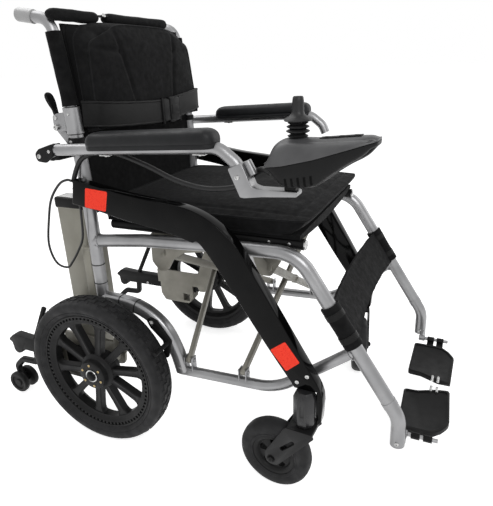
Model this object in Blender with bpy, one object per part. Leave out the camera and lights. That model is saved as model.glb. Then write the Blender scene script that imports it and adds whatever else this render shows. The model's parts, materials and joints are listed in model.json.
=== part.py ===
"""A folding power wheelchair: one closed solid for each sub-part, in metres, +Z up.

It faces -Y, and its user's right is -X. Shapes are drawn for the left side (+X), in a frame whose
origin lies on the floor under the rear axle, and mirrored for the right side. The empty named
chair stands at that origin, so that the part's own origin is the middle of its footprint.
"""

import math

import bmesh
import bpy
from mathutils import Matrix, Vector

# Clearances
GAP = 0.0003
RUNNING = 0.0006

# Where the rear axle stands behind the middle of the footprint
REAR_AXLE_Y = 0.191

# Side frame: middle plane of the tubes, and the tube
FRAME_X = 0.217
TUBE_R = 0.0135
POST_TOP = 0.684
SEAT_TUBE_Z = 0.489
SEAT_TUBE_REAR_Z = 0.463
LEG_CORNER_Y = -0.445
FOOT_Y = -0.640
FOOT_CORNER_Z = 0.191
FOOT_BOTTOM = 0.132
REAR_CORNER_Y = -0.187
BOTTOM_Z = 0.1845
BOTTOM_R = 0.011

# Rear wheel
WHEEL_R = 0.175
WHEEL_X = FRAME_X + TUBE_R + 0.0363
TYRE_HALF = 0.0295
RIM_R = WHEEL_R - 0.0338
HUB_INNER = -0.0275
HUB_FACE = 0.0315
HUB_OUTER = 0.0380
AXLE_R = 0.008
SPOKES = 10
SPOKE_W = 0.019
SPOKE_PHASE = math.radians(8.9)

# Where the brake lever turns, on the lower rear tube
BRAKE_PIVOT = (-0.1290, BOTTOM_Z + 0.1150)

# Caster
CASTER_R = 0.0745
CASTER_HALF = 0.019
STEM_X = FRAME_X + TUBE_R + 0.0295
STEM_Y = -0.475
TRAIL = 0.0605
FORK_TOP = 0.1615
STEM_R = 0.0065
HOUSING_BOTTOM = 0.162
HOUSING_TOP = 0.240
HOUSING_R = 0.0205
RIGHT_CASTER_TURN = math.radians(-4.0)
LEFT_CASTER_TURN = math.radians(102.7)

# Curved arm outside each side frame
ARM_X0 = FRAME_X + TUBE_R + 0.0065
ARM_X1 = ARM_X0 + 0.025

# Cross braces: pivots along Y, two legs in front and two behind
BRACE_FOOT_Z = BOTTOM_Z + BOTTOM_R + 0.0205
BRACE_MID_Z = BRACE_FOOT_Z + 0.122
RAIL_X = FRAME_X - 0.025
RAIL_Z = SEAT_TUBE_Z + 0.009
RAIL_R = 0.0105
RAIL_REAR = -0.030
RAIL_FRONT = -0.451
LEG_WIDE = 0.017
LEG_THICK = 0.010
LEG_PIN_R = 0.003
LEG_SHIFT = 0.0105
CLEVIS_HALF = 0.0095
GUSSET_X0 = RAIL_X - 0.0090
GUSSET_X1 = RAIL_X - 0.0025
GUSSET_TOP = RAIL_Z - RAIL_R - GAP
FRONT_BRACE = (-0.342, -0.372)
REAR_BRACE = (-0.2155, -0.135)

# Back canes
BACK_PIVOT = (0.048, POST_TOP + 0.014)
PADDLE_PIVOT = (0.049, POST_TOP + 0.0325)
CANE_R = 0.0105
CANE_FOOT = (0.012, POST_TOP + 0.0005)
CANE_COLLAR_TOP = (0.0143, POST_TOP + 0.053)
CANE_CORNER = (0.0303, POST_TOP + 0.207)
CANE_END = (0.1035, POST_TOP + 0.2195)
COLLAR_R = CANE_R + 0.006
SLEEVE_R = CANE_R + 0.0041
GRIP_R = CANE_R + 0.002
GRIP_START = 0.068

# Armrests
ARMREST_X = FRAME_X + TUBE_R + 0.030
ARMREST_TUBE_R = 0.011
ARMREST_EYE_HALF = ARMREST_TUBE_R + 0.0002
ARMREST_PIVOT = (0.056, POST_TOP - 0.034)
STRUT_END = 0.034
ARMREST_REAR = (0.030, POST_TOP - 0.0235)
ARMREST_FRONT = (-0.3225, POST_TOP - 0.0070)
ARMREST_SLOPE = (ARMREST_FRONT[1] - ARMREST_REAR[1]) / (ARMREST_REAR[0] - ARMREST_FRONT[0])
PAD_REAR = -0.058
PAD_FRONT = -0.322
PAD_HALF = 0.0245
PAD_THICK = 0.032

# Seat and back
SEAT_HALF = FRAME_X - 0.0075
SEAT_REAR = -0.012
SEAT_FRONT = -0.461
SEAT_BOTTOM = RAIL_Z + RAIL_R + 0.0071
SEAT_TOP = SEAT_BOTTOM + 0.0414
SLING_HALF = FRAME_X - COLLAR_R - 0.0010
SLING_LOW = CANE_COLLAR_TOP[1] - 0.048
SLING_HIGH = CANE_CORNER[1] - 0.007
SLING_LOW_Y = CANE_COLLAR_TOP[0] - 0.0113
SLING_HIGH_Y = CANE_CORNER[0] - 0.0108
SLING_THICK = 0.006
CUSHION_HALF = FRAME_X - COLLAR_R - 0.0005

# Footplates: each turns on a pin along Y
FOOT_PIN_X = FRAME_X - 0.032
FOOT_PIN_Z = FOOT_BOTTOM + 0.003
FOOT_PIN_R = 0.004
FOOTPLATE_IN = 0.012
FOOTPLATE_OUT = FOOT_PIN_X - 0.021
FOOTPLATE_REAR = FOOT_Y + 0.008
FOOTPLATE_FRONT = FOOTPLATE_REAR - 0.096
FOOTPLATE_Z = FOOT_PIN_Z - 0.015
FOOTPLATE_THICK = 0.0115

# Anti-tipper
TIPPER_X = FRAME_X + 0.005
TIPPER_HALF = 0.0105
TIPPER_BOTTOM = WHEEL_R - 0.034
TIPPER_TOP = WHEEL_R + 0.003
TIPPER_FRONT = 0.026
ROLLER_R = 0.029
ROLLER_AXLE = (0.317, ROLLER_R + 0.008)

# Drive bracket
BRACKET_X0 = FRAME_X - 0.016
BRACKET_X1 = FRAME_X - 0.0093

# Battery and its dock, on the right side only
BATTERY_X0 = FRAME_X - 0.059
BATTERY_X1 = FRAME_X - 0.017
BATTERY_Y0 = 0.042
BATTERY_Y1 = 0.120
BATTERY_Z0 = 0.140
BATTERY_Z1 = 0.520
BATTERY_CAP_TOP = BATTERY_Z1 + 0.025

# Joystick controller, on the right side only
JOYSTICK_Y = -0.459
LID_TOP = POST_TOP + 0.013
CONTROLLER_HALF = 0.034
CONTROLLER_FOOT_Z = POST_TOP - 0.0694
BUTTON_YS = (-0.505, -0.527, -0.549)
BUTTON_R = 0.0050
GIMBAL_Z = LID_TOP + 0.003
CABLE_R = 0.0048
CABLE_X = FRAME_X + TUBE_R + 0.0110
CABLE_GLAND = (0.0120, 0.5865)


def clear_scene():
    for old in list(bpy.data.objects):
        bpy.data.objects.remove(old, do_unlink=True)


def finish(name, colour, roughness, metallic=0.0):
    material = bpy.data.materials.new(name)
    material.use_nodes = True
    shader = material.node_tree.nodes["Principled BSDF"]
    shader.inputs["Base Color"].default_value = (*colour, 1.0)
    shader.inputs["Roughness"].default_value = roughness
    shader.inputs["Metallic"].default_value = metallic
    return material


# Shape tools

def closed_mesh(bm):
    bmesh.ops.recalc_face_normals(bm, faces=bm.faces)
    mesh = bpy.data.meshes.new("shape")
    bm.to_mesh(mesh)
    bm.free()
    return mesh


def circle(radius, sides=8, phase=0.0):
    """A round section: (across, up) offsets, counterclockwise. phase is a share of one side."""
    turns = [2.0 * math.pi * (k + phase) / sides for k in range(sides)]
    return [(radius * math.cos(t), radius * math.sin(t)) for t in turns]


def rounded_box(wide, high, corner, steps=2):
    """A box section with round corners, counterclockwise."""
    points = []
    for sx, sy, start in ((1, 1, 0.0), (-1, 1, 0.5), (-1, -1, 1.0), (1, -1, 1.5)):
        cx, cy = sx * (wide / 2 - corner), sy * (high / 2 - corner)
        for k in range(steps + 1):
            turn = math.pi * (start + 0.5 * k / steps)
            points.append((cx + corner * math.cos(turn), cy + corner * math.sin(turn)))
    return points


def rounded(points, radius, steps=4, closed=False):
    """A polyline or outline with its corners replaced by arcs. radius is one value, or one each."""
    points = [Vector(p) for p in points]
    count = len(points)
    radii = radius if isinstance(radius, (list, tuple)) else [radius] * count
    out = []
    for k, here in enumerate(points):
        if radii[k] <= 0.0 or not closed and k in (0, count - 1):
            out.append(here.copy())
            continue
        back = points[k - 1] - here
        ahead = points[(k + 1) % count] - here
        corner = back.angle(ahead)
        reach = radii[k] / math.tan(corner / 2)
        reach = min(reach, 0.48 * back.length, 0.48 * ahead.length)
        arc = reach * math.tan(corner / 2)
        centre = here + (back.normalized() + ahead.normalized()).normalized() * (arc / math.sin(corner / 2))
        first = here + back.normalized() * reach - centre
        last = here + ahead.normalized() * reach - centre
        sweep_angle = first.angle(last)
        for i in range(steps + 1):
            part = i / steps
            near = math.sin((1 - part) * sweep_angle) / math.sin(sweep_angle)
            far = math.sin(part * sweep_angle) / math.sin(sweep_angle)
            out.append(centre + first * near + last * far)
    return out


def smooth(points, per=3, closed=False):
    """Points on a smooth curve through the given points."""
    points = [Vector(p) for p in points]
    count = len(points)
    out = []
    for k in range(count if closed else count - 1):
        if closed:
            a, b, c, d = (points[(k + i) % count] for i in (-1, 0, 1, 2))
        else:
            b, c = points[k], points[k + 1]
            a = points[k - 1] if k > 0 else b * 2 - c
            d = points[k + 2] if k + 2 < count else c * 2 - b
        for i in range(per):
            t = i / per
            out.append(
                0.5 * (2 * b + (c - a) * t + (2 * a - 5 * b + 4 * c - d) * t**2
                       + (3 * b - a - 3 * c + d) * t**3)
            )
    if not closed:
        out.append(points[-1])
    return out


def sweep(path, section, across=(1.0, 0.0, 0.0)):
    """The section carried along a path in space, its first direction kept towards `across`."""
    path = [Vector(p) for p in path]
    bm = bmesh.new()
    rings = []
    for k, here in enumerate(path):
        before = (here - path[k - 1]).normalized() if k > 0 else None
        after = (path[k + 1] - here).normalized() if k + 1 < len(path) else None
        if before is None or after is None:
            along = before or after
            mitre = 1.0
        else:
            along = (before + after).normalized()
            mitre = 1.0 / max(0.5, along.dot(after))
        side = Vector(across)
        side = (side - along * side.dot(along)).normalized()
        up = along.cross(side)
        rings.append([bm.verts.new(here + side * a + up * (b * mitre)) for a, b in section])
    for first, second in zip(rings, rings[1:]):
        for i in range(len(section)):
            j = (i + 1) % len(section)
            bm.faces.new((first[i], first[j], second[j], second[i]))
    bm.faces.new(list(reversed(rings[0])))
    bm.faces.new(rings[-1])
    return closed_mesh(bm)


def side_path(points, x):
    """(y, z) points as points in space, in the plane at x."""
    return [Vector((x, p[0], p[1])) for p in points]


def plate(outline, x0, x1, edge=0.0):
    """A (y, z) outline extruded from x0 to x1, its long edges bevelled by `edge`."""
    bm = bmesh.new()
    lower = [bm.verts.new((x0, p[0], p[1])) for p in outline]
    upper = [bm.verts.new((x1, p[0], p[1])) for p in outline]
    count = len(outline)
    bm.faces.new(lower)
    bm.faces.new(upper)
    for i in range(count):
        j = (i + 1) % count
        bm.faces.new((lower[i], lower[j], upper[j], upper[i]))
    if edge > 0.0:
        caps = [e for e in bm.edges if abs(e.verts[0].co.x - e.verts[1].co.x) < 1e-7]
        bmesh.ops.recalc_face_normals(bm, faces=bm.faces)
        bmesh.ops.bevel(bm, geom=caps, offset=edge, segments=1, affect="EDGES", clamp_overlap=True)
    return closed_mesh(bm)


def level_plate(outline, z0, z1, edge=0.0):
    """An (x, y) outline extruded from z0 to z1."""
    mesh = plate([(p[0], p[1]) for p in outline], z0, z1, edge)
    mesh.transform(Matrix(((0, 1, 0, 0), (0, 0, 1, 0), (1, 0, 0, 0), (0, 0, 0, 1))))
    return mesh


def block(x0, x1, y0, y1, z0, z1, edge=0.0):
    """A box, with all its edges bevelled by `edge`."""
    bm = bmesh.new()
    bmesh.ops.create_cube(bm, size=1.0)
    for v in bm.verts:
        v.co = Vector((
            x0 + (v.co.x + 0.5) * (x1 - x0),
            y0 + (v.co.y + 0.5) * (y1 - y0),
            z0 + (v.co.z + 0.5) * (z1 - z0),
        ))
    if edge > 0.0:
        bmesh.ops.bevel(bm, geom=bm.edges[:], offset=edge, segments=1, affect="EDGES")
    return closed_mesh(bm)


def turned(profile, steps=24):
    """A solid of revolution about X, from (radius, along) points.

    A profile that begins and ends on the axis closes there; any other is a ring's closed section.
    A flat of the many-sided solid faces down.
    """
    bm = bmesh.new()
    columns = []
    turns = [2.0 * math.pi * (k + 0.5) / steps - 0.5 * math.pi for k in range(steps)]
    for radius, along in profile:
        if radius <= 0.0:
            pole = bm.verts.new((along, 0.0, 0.0))
            columns.append([pole] * steps)
            continue
        columns.append([bm.verts.new((along, radius * math.cos(t), radius * math.sin(t))) for t in turns])
    open_ended = profile[0][0] <= 0.0
    pairs = list(zip(columns, columns[1:]))
    if not open_ended:
        pairs.append((columns[-1], columns[0]))
    for first, second in pairs:
        for k in range(steps):
            n = (k + 1) % steps
            corners = [first[k], first[n], second[n], second[k]]
            face = [v for i, v in enumerate(corners) if v not in corners[:i]]
            if len(face) > 2:
                bm.faces.new(face)
    return closed_mesh(bm)


def rod(radius, start, end, sides=8):
    """A round bar between two points."""
    start, end = Vector(start), Vector(end)
    hint = (0.0, 0.0, 1.0) if abs((end - start).normalized().z) < 0.9 else (1.0, 0.0, 0.0)
    return sweep([start, end], circle(radius, sides), hint)


def moved(mesh, offset=(0.0, 0.0, 0.0), turn=None):
    copy = mesh.copy()
    if turn is not None:
        copy.transform(turn)
    copy.transform(Matrix.Translation(Vector(offset)))
    return copy


def mirrored(mesh):
    copy = mesh.copy()
    copy.transform(Matrix.Scale(-1.0, 4, (1.0, 0.0, 0.0)))
    copy.flip_normals()
    return copy


def joined(meshes):
    """Separate bodies in one mesh, for use as one cutter."""
    bm = bmesh.new()
    for mesh in meshes:
        bm.from_mesh(mesh)
    return closed_mesh(bm)


def combined(base, others, operation):
    holder = bpy.data.objects.new("holder", base)
    bpy.context.scene.collection.objects.link(holder)
    helpers = [holder]
    for mesh in others:
        helper = bpy.data.objects.new("helper", mesh)
        bpy.context.scene.collection.objects.link(helper)
        helpers.append(helper)
        modifier = holder.modifiers.new("combine", "BOOLEAN")
        modifier.operation = operation
        modifier.solver = "EXACT"
        modifier.object = helper
    bpy.context.view_layer.update()
    graph = bpy.context.evaluated_depsgraph_get()
    result = bpy.data.meshes.new_from_object(holder.evaluated_get(graph))
    for helper in helpers:
        bpy.data.objects.remove(helper, do_unlink=True)
    return result


def union(*meshes):
    return combined(meshes[0], meshes[1:], "UNION")


def cut(mesh, *cutters):
    return combined(mesh, cutters, "DIFFERENCE")


def add(name, mesh, material, joint=(0.0, 0.0, 0.0)):
    """The mesh as a named object, its origin on its joint's axis."""
    mesh = mesh.copy()
    mesh.name = name
    mesh.transform(Matrix.Translation(-Vector(joint)))
    mesh.materials.clear()
    mesh.materials.append(material)
    mesh.shade_smooth()
    mesh.set_sharp_from_angle(angle=math.radians(32.0))
    obj = bpy.data.objects.new(name, mesh)
    obj.location = joint
    obj.parent = CHAIR
    bpy.context.scene.collection.objects.link(obj)
    return obj


def add_pair(name, mesh, material, joint=(0.0, 0.0, 0.0)):
    add(name + "_left", mesh, material, joint)
    add(name + "_right", mirrored(mesh), material, (-joint[0], joint[1], joint[2]))


def add_cord(name, points, radius, material):
    """A cord: a curve with a bevel and filled caps, through a smooth curve's points."""
    curve = bpy.data.curves.new(name, "CURVE")
    curve.dimensions = "3D"
    curve.bevel_depth = radius
    curve.bevel_resolution = 2
    curve.use_fill_caps = True
    curve.materials.append(material)
    spline = curve.splines.new("POLY")
    spline.points.add(len(points) - 1)
    for place, point in zip(spline.points, points):
        place.co = (*point, 1.0)
    obj = bpy.data.objects.new(name, curve)
    obj.parent = CHAIR
    bpy.context.scene.collection.objects.link(obj)
    return obj


# Side frame

def seat_tube_path():
    corners = [
        (0.006, SEAT_TUBE_REAR_Z),
        (-0.120, SEAT_TUBE_Z - 0.012),
        (-0.260, SEAT_TUBE_Z - 0.004),
        (LEG_CORNER_Y, SEAT_TUBE_Z),
        (FOOT_Y, FOOT_CORNER_Z),
        (FOOT_Y - 0.001, FOOT_BOTTOM),
    ]
    return rounded(corners, [0, 0, 0, 0.07, 0.06, 0], steps=4)


def leg_point(z):
    """The leg tube's middle line at a height between its two bends."""
    share = (SEAT_TUBE_Z - z) / (SEAT_TUBE_Z - FOOT_CORNER_Z)
    return LEG_CORNER_Y + share * (FOOT_Y - LEG_CORNER_Y)


def lower_rear_path():
    return smooth([
        (0.010, BOTTOM_Z + 0.1425), (-0.030, BOTTOM_Z + 0.1425), (-0.075, BOTTOM_Z + 0.1400),
        (-0.117, BOTTOM_Z + 0.1240), (-0.150, BOTTOM_Z + 0.0950),
        (-0.174, BOTTOM_Z + 0.0480), (REAR_CORNER_Y, BOTTOM_Z),
    ], per=2)


def bottom_path():
    weld = leg_point(BOTTOM_Z + 0.133)
    corners = [(REAR_CORNER_Y + 0.007, BOTTOM_Z), (-0.402, BOTTOM_Z + 0.010), (weld, BOTTOM_Z + 0.133)]
    return rounded(corners, [0, 0.12, 0], steps=4)


def clevis(station, side, tube_z):
    """Two ears on the bottom tube, as far apart as the leg leans, with the pin that it turns on."""
    foot_y, top_y = station
    y = foot_y + side * LEG_SHIFT
    ears = []
    lean = abs(top_y - foot_y) / (FRAME_X + RAIL_X)
    inner = LEG_THICK / 2 + RUNNING + lean * CLEVIS_HALF
    for way in (-1, 1):
        y0, y1 = sorted((y + way * inner, y + way * (inner + 0.003)))
        ears.append(block(FRAME_X - CLEVIS_HALF, FRAME_X + CLEVIS_HALF, y0, y1, tube_z, BRACE_FOOT_Z + 0.008))
    reach = inner + 0.0055
    pin = rod(LEG_PIN_R, (FRAME_X, y - reach, BRACE_FOOT_Z), (FRAME_X, y + reach, BRACE_FOOT_Z))
    return ears + [pin]


def footplate_bracket():
    """The arm inboard from the foot of the leg, and the pin along Y that the footplate turns on."""
    arm_y = FOOTPLATE_REAR - 0.0165
    arm = rod(0.0065, (FRAME_X - 0.004, arm_y, FOOT_PIN_Z + 0.003), (FOOT_PIN_X, arm_y, FOOT_PIN_Z))
    knuckle = rod(0.0070, (FOOT_PIN_X, arm_y + 0.0075, FOOT_PIN_Z), (FOOT_PIN_X, arm_y - 0.0075, FOOT_PIN_Z))
    pin = rod(FOOT_PIN_R, (FOOT_PIN_X, arm_y, FOOT_PIN_Z), (FOOT_PIN_X, FOOTPLATE_FRONT + 0.018, FOOT_PIN_Z))
    return [arm, knuckle, pin]


def side_frame(brace_side):
    x = FRAME_X
    post_line = [(0.006, BOTTOM_Z + 0.138), (0.007, POST_TOP - 0.084), (0.012, POST_TOP)]
    post = sweep(side_path(post_line, x), circle(TUBE_R))
    seat_tube = sweep(side_path(seat_tube_path(), x), circle(TUBE_R))
    bottom = sweep(side_path(bottom_path(), x), circle(BOTTOM_R))
    flattened = rounded_box(2 * TUBE_R - 0.0005, 2 * TUBE_R + 0.003, 0.009)
    lower_rear = sweep(side_path(lower_rear_path(), x), flattened)
    py, pz = BACK_PIVOT
    lug = plate(
        rounded([(0.004, pz - 0.046), (0.024, pz - 0.046), (py + 0.0085, pz - 0.008), (py + 0.0085, pz + 0.008),
                 (py - 0.006, pz + 0.007), (0.0315, pz - 0.0150), (0.004, pz - 0.0150)],
                [0, 0.008, 0.007, 0.007, 0.006, 0.002, 0], steps=3, closed=True),
        x - 0.003, x + 0.003)
    pivot_pin = rod(0.0035, (x - 0.0135, py, pz), (x + 0.0135, py, pz))
    strut = plate([(0.010, POST_TOP - 0.040), (STRUT_END, POST_TOP - 0.041), (STRUT_END, POST_TOP - 0.028),
                   (0.010, POST_TOP - 0.024)], x - 0.006, x + 0.006, 0.0015)
    tab = plate([(-0.062, BOTTOM_Z + 0.137), (-0.014, BOTTOM_Z + 0.139), (-0.018, BOTTOM_Z + 0.100),
                 (-0.058, BOTTOM_Z + 0.100)], x - 0.0090, x - 0.0030)
    brake_pin = rod(0.0040, (x, *BRAKE_PIVOT), (x + 0.0185, *BRAKE_PIVOT))
    ears = []
    for station in (FRONT_BRACE, REAR_BRACE):
        ears += clevis(station, brace_side, BOTTOM_Z + 0.003)
    return union(seat_tube, post, bottom, lower_rear, lug, pivot_pin, strut, tab, brake_pin,
                 *ears, *footplate_bracket())


# Curved arm

def arm():
    top = smooth([(-0.002, 0.604), (-0.066, 0.592), (-0.133, 0.581), (-0.209, 0.573), (-0.252, 0.567),
                  (-0.291, 0.552), (-0.327, 0.526), (-0.360, 0.486), (-0.480, 0.286), (-0.500, 0.252),
                  (-0.5075, 0.232)], per=2)
    front = [(-0.5090, 0.215), (-0.5070, 0.175), (-0.5000, HOUSING_BOTTOM + 0.004)]
    hollow = [(STEM_Y - HOUSING_R - 0.0012, HOUSING_BOTTOM + 0.004),
              (STEM_Y - HOUSING_R - 0.0012, HOUSING_TOP + GAP), (STEM_Y + HOUSING_R, HOUSING_TOP + GAP)]
    bottom = smooth([(-0.449, 0.249), (-0.400, 0.319), (-0.286, 0.489), (-0.255, 0.504), (-0.203, 0.518),
                     (-0.126, 0.530), (-0.057, 0.544), (0.009, 0.555)], per=2)
    body = plate(top + [Vector(p) for p in front + hollow] + bottom, ARM_X0, ARM_X1)
    seats = ((0.0045, 0.578, TUBE_R), (-0.325, SEAT_TUBE_Z - 0.001, TUBE_R), (-0.474, BOTTOM_Z + 0.0655, BOTTOM_R))
    bosses = [rod(0.0075, (FRAME_X + radius + GAP, y, z), (ARM_X0 + 0.004, y, z)) for y, z, radius in seats]
    return union(body, *bosses)


def cable_gland():
    """Where the controller's cable leaves the rear end of the right arm."""
    y, z = CABLE_GLAND
    return rod(0.0072, (CABLE_X, y, z - 0.0245), (CABLE_X, y, z), 12)


# Rear wheel

def tyre(radius, bore, half, flat, steps):
    """A ring whose flats, not its edges, lie at the radius, so that it stands on one."""
    radius = radius / math.cos(math.pi / steps)
    side = [(bore, 0.78 * half), (bore + 0.25 * (radius - bore), 0.95 * half),
            (bore + 0.62 * (radius - bore), half), (bore + 0.88 * (radius - bore), 0.87 * half), (radius, flat)]
    return turned(side + [(r, -a) for r, a in reversed(side)], steps)


def window(angle, inner, outer, spoke, half):
    """A wheel window between two spokes, as a cutter through the wheel."""
    step = math.pi / SPOKES
    corners = []
    for radius, way in ((inner, 1), (outer, 1), (outer, 0), (outer, -1), (inner, -1)):
        turn = way * (step - math.asin(min(1.0, spoke / 2 / radius)))
        corners.append((radius * math.cos(angle + turn), radius * math.sin(angle + turn)))
    shape = rounded(corners, [0, 0.010, 0, 0.010, 0], steps=1, closed=True)
    return plate([(-p[0], p[1]) for p in shape], -half, half)


def rear_rim():
    lip = RIM_R - 0.0127
    wheel = turned([
        (0, -0.008), (AXLE_R + RUNNING, -0.008), (AXLE_R + RUNNING, HUB_INNER), (0.034, HUB_INNER),
        (0.036, -0.007), (lip, -0.007), (lip, -0.0215), (RIM_R, -0.0215), (RIM_R, 0.0215),
        (RIM_R - 0.006, 0.0215), (lip, 0.0125), (0.0375, 0.0125), (0.0340, 0.0160), (0.0330, HUB_FACE - 0.0010),
        (0.0315, HUB_FACE), (0.0145, HUB_FACE), (0.0140, HUB_FACE + 0.0020), (0.0120, HUB_FACE + 0.0020),
        (0.0100, HUB_OUTER - 0.0010), (0.0055, HUB_OUTER), (0, HUB_OUTER),
    ], 30)
    step = 2.0 * math.pi / SPOKES
    holes = [window(SPOKE_PHASE + step * (k + 0.5), 0.0385, lip - 0.010, SPOKE_W, 0.030) for k in range(SPOKES)]
    return cut(wheel, joined(holes))


def brake_lever():
    """A thin lever beside the tyre's front, with a shoe pin across the tread."""
    y, z = BRAKE_PIVOT
    low = (y - 0.0360, z - 0.0410)
    end = (low[0] + 0.009, low[1] - 0.033)
    x0, x1 = FRAME_X + TUBE_R + 0.0012, FRAME_X + TUBE_R + 0.0050
    outline = rounded([(y + 0.012, z + 0.004), (y + 0.003, z + 0.012), (y - 0.012, z + 0.007),
                       (low[0] - 0.009, low[1] + 0.004), (end[0] - 0.008, end[1] - 0.003),
                       (end[0] + 0.004, end[1] - 0.008), (low[0] + 0.011, low[1] + 0.002),
                       (y + 0.004, z - 0.012)], 0.005, steps=2, closed=True)
    lever = plate(outline, x0, x1)
    shoe = rod(0.0050, (x0 + 0.001, *low), (WHEEL_X + 0.018, *low))
    return cut(union(lever, shoe), rod(0.0046, (x0 - 0.01, y, z), (x1 + 0.003, y, z)))


# Casters

def fork_turn(angle):
    return Matrix.Rotation(angle, 4, "Z")


def caster_fork():
    """Stem, crown, two slotted side plates and the axle, about the stem's axis, trailing along +Y."""
    inner = CASTER_HALF + 0.0022
    outer = inner + 0.0040
    eye = (TRAIL, CASTER_R)
    outline = rounded([(-0.026, FORK_TOP - 0.008), (-0.022, FORK_TOP), (0.026, FORK_TOP),
                       (0.034, FORK_TOP - 0.006),
                       (eye[0] + 0.0125, eye[1] + 0.014), (eye[0] + 0.0125, eye[1] - 0.0125),
                       (eye[0] - 0.0125, eye[1] - 0.0125), (0.020, eye[1] + 0.022)],
                      [0, 0, 0, 0.006, 0.010, 0.0115, 0.0115, 0.02], steps=2, closed=True)
    sides = [plate(outline, inner, outer), plate(outline, -outer, -inner)]
    crown = block(-outer + 0.0005, outer - 0.0005, -0.023, 0.028, FORK_TOP - 0.0075, FORK_TOP - 0.0002)
    stem = rod(STEM_R, (0, 0, FORK_TOP - 0.004), (0, 0, HOUSING_TOP - 0.012), 12)
    axle = rod(0.0050, (-outer - 0.005, *eye), (outer + 0.005, *eye), 12)
    y, z = 0.026, 0.115
    slot = rounded([(y - 0.017, z + 0.015), (y - 0.011, z + 0.021), (y + 0.017, z - 0.007), (y + 0.011, z - 0.013)],
                   0.003, steps=1, closed=True)
    body = union(sides[0], sides[1], crown, stem, axle)
    return cut(body, plate(slot, -outer - 0.01, outer + 0.01))


def caster_wheel():
    bore = 0.0050 + RUNNING
    wheel = turned([
        (bore, -CASTER_HALF - 0.0012), (0.012, -CASTER_HALF - 0.0012), (0.014, -0.010), (0.036, -0.008),
        (0.0385, -0.0150), (0.0450, -0.0150), (0.0450, 0.0150), (0.0385, 0.0150), (0.036, 0.008),
        (0.014, 0.010), (0.012, CASTER_HALF + 0.0012), (bore, CASTER_HALF + 0.0012),
    ], 18)
    holes = []
    for k in range(5):
        turn = 2.0 * math.pi * (k + 0.25) / 5
        y, z = 0.0255 * math.cos(turn), 0.0255 * math.sin(turn)
        holes.append(rod(0.0072, (-0.03, y, z), (0.03, y, z), 6))
    return cut(wheel, joined(holes))


def caster_housing():
    """Eight-sided housing of the stem's bearings, with a bore open below."""
    middle = (STEM_X, STEM_Y)
    body = sweep([(*middle, HOUSING_BOTTOM), (*middle, HOUSING_BOTTOM + 0.012), (*middle, HOUSING_TOP - 0.012),
                  (*middle, HOUSING_TOP)], circle(HOUSING_R / math.cos(math.pi / 8), 8, 0.5))
    for v in body.vertices:
        if v.co.z < HOUSING_BOTTOM + 0.001 or v.co.z > HOUSING_TOP - 0.001:
            v.co.x = STEM_X + (v.co.x - STEM_X) * 0.72
            v.co.y = STEM_Y + (v.co.y - STEM_Y) * 0.72
    bore = rod(STEM_R + RUNNING, (*middle, HOUSING_BOTTOM - 0.01), (*middle, HOUSING_TOP - 0.010), 16)
    recess = block(STEM_X + HOUSING_R - 0.002, STEM_X + HOUSING_R + 0.01, STEM_Y - 0.0035, STEM_Y + 0.0035,
                   HOUSING_BOTTOM + 0.030, HOUSING_BOTTOM + 0.055)
    return cut(body, bore, recess)


def add_casters(metal, plastic, rubber):
    fork = caster_fork()
    wheel = caster_wheel()
    band = tyre(CASTER_R, 0.0450 + GAP, CASTER_HALF, 0.40 * CASTER_HALF, 18)
    for side, name, angle in ((1, "_left", LEFT_CASTER_TURN), (-1, "_right", RIGHT_CASTER_TURN)):
        stem = Vector((side * STEM_X, STEM_Y, 0.0))
        turn = fork_turn(angle)
        hub = stem + turn @ Vector((0.0, TRAIL, CASTER_R))
        add("caster_fork" + name, moved(fork, stem, turn), metal, (stem.x, stem.y, HOUSING_BOTTOM))
        add("caster_wheel" + name, moved(wheel, hub, turn), plastic, hub)
        add("caster_tyre" + name, moved(band, hub, turn), rubber, hub)


# Drive bracket and anti-tipper

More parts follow.
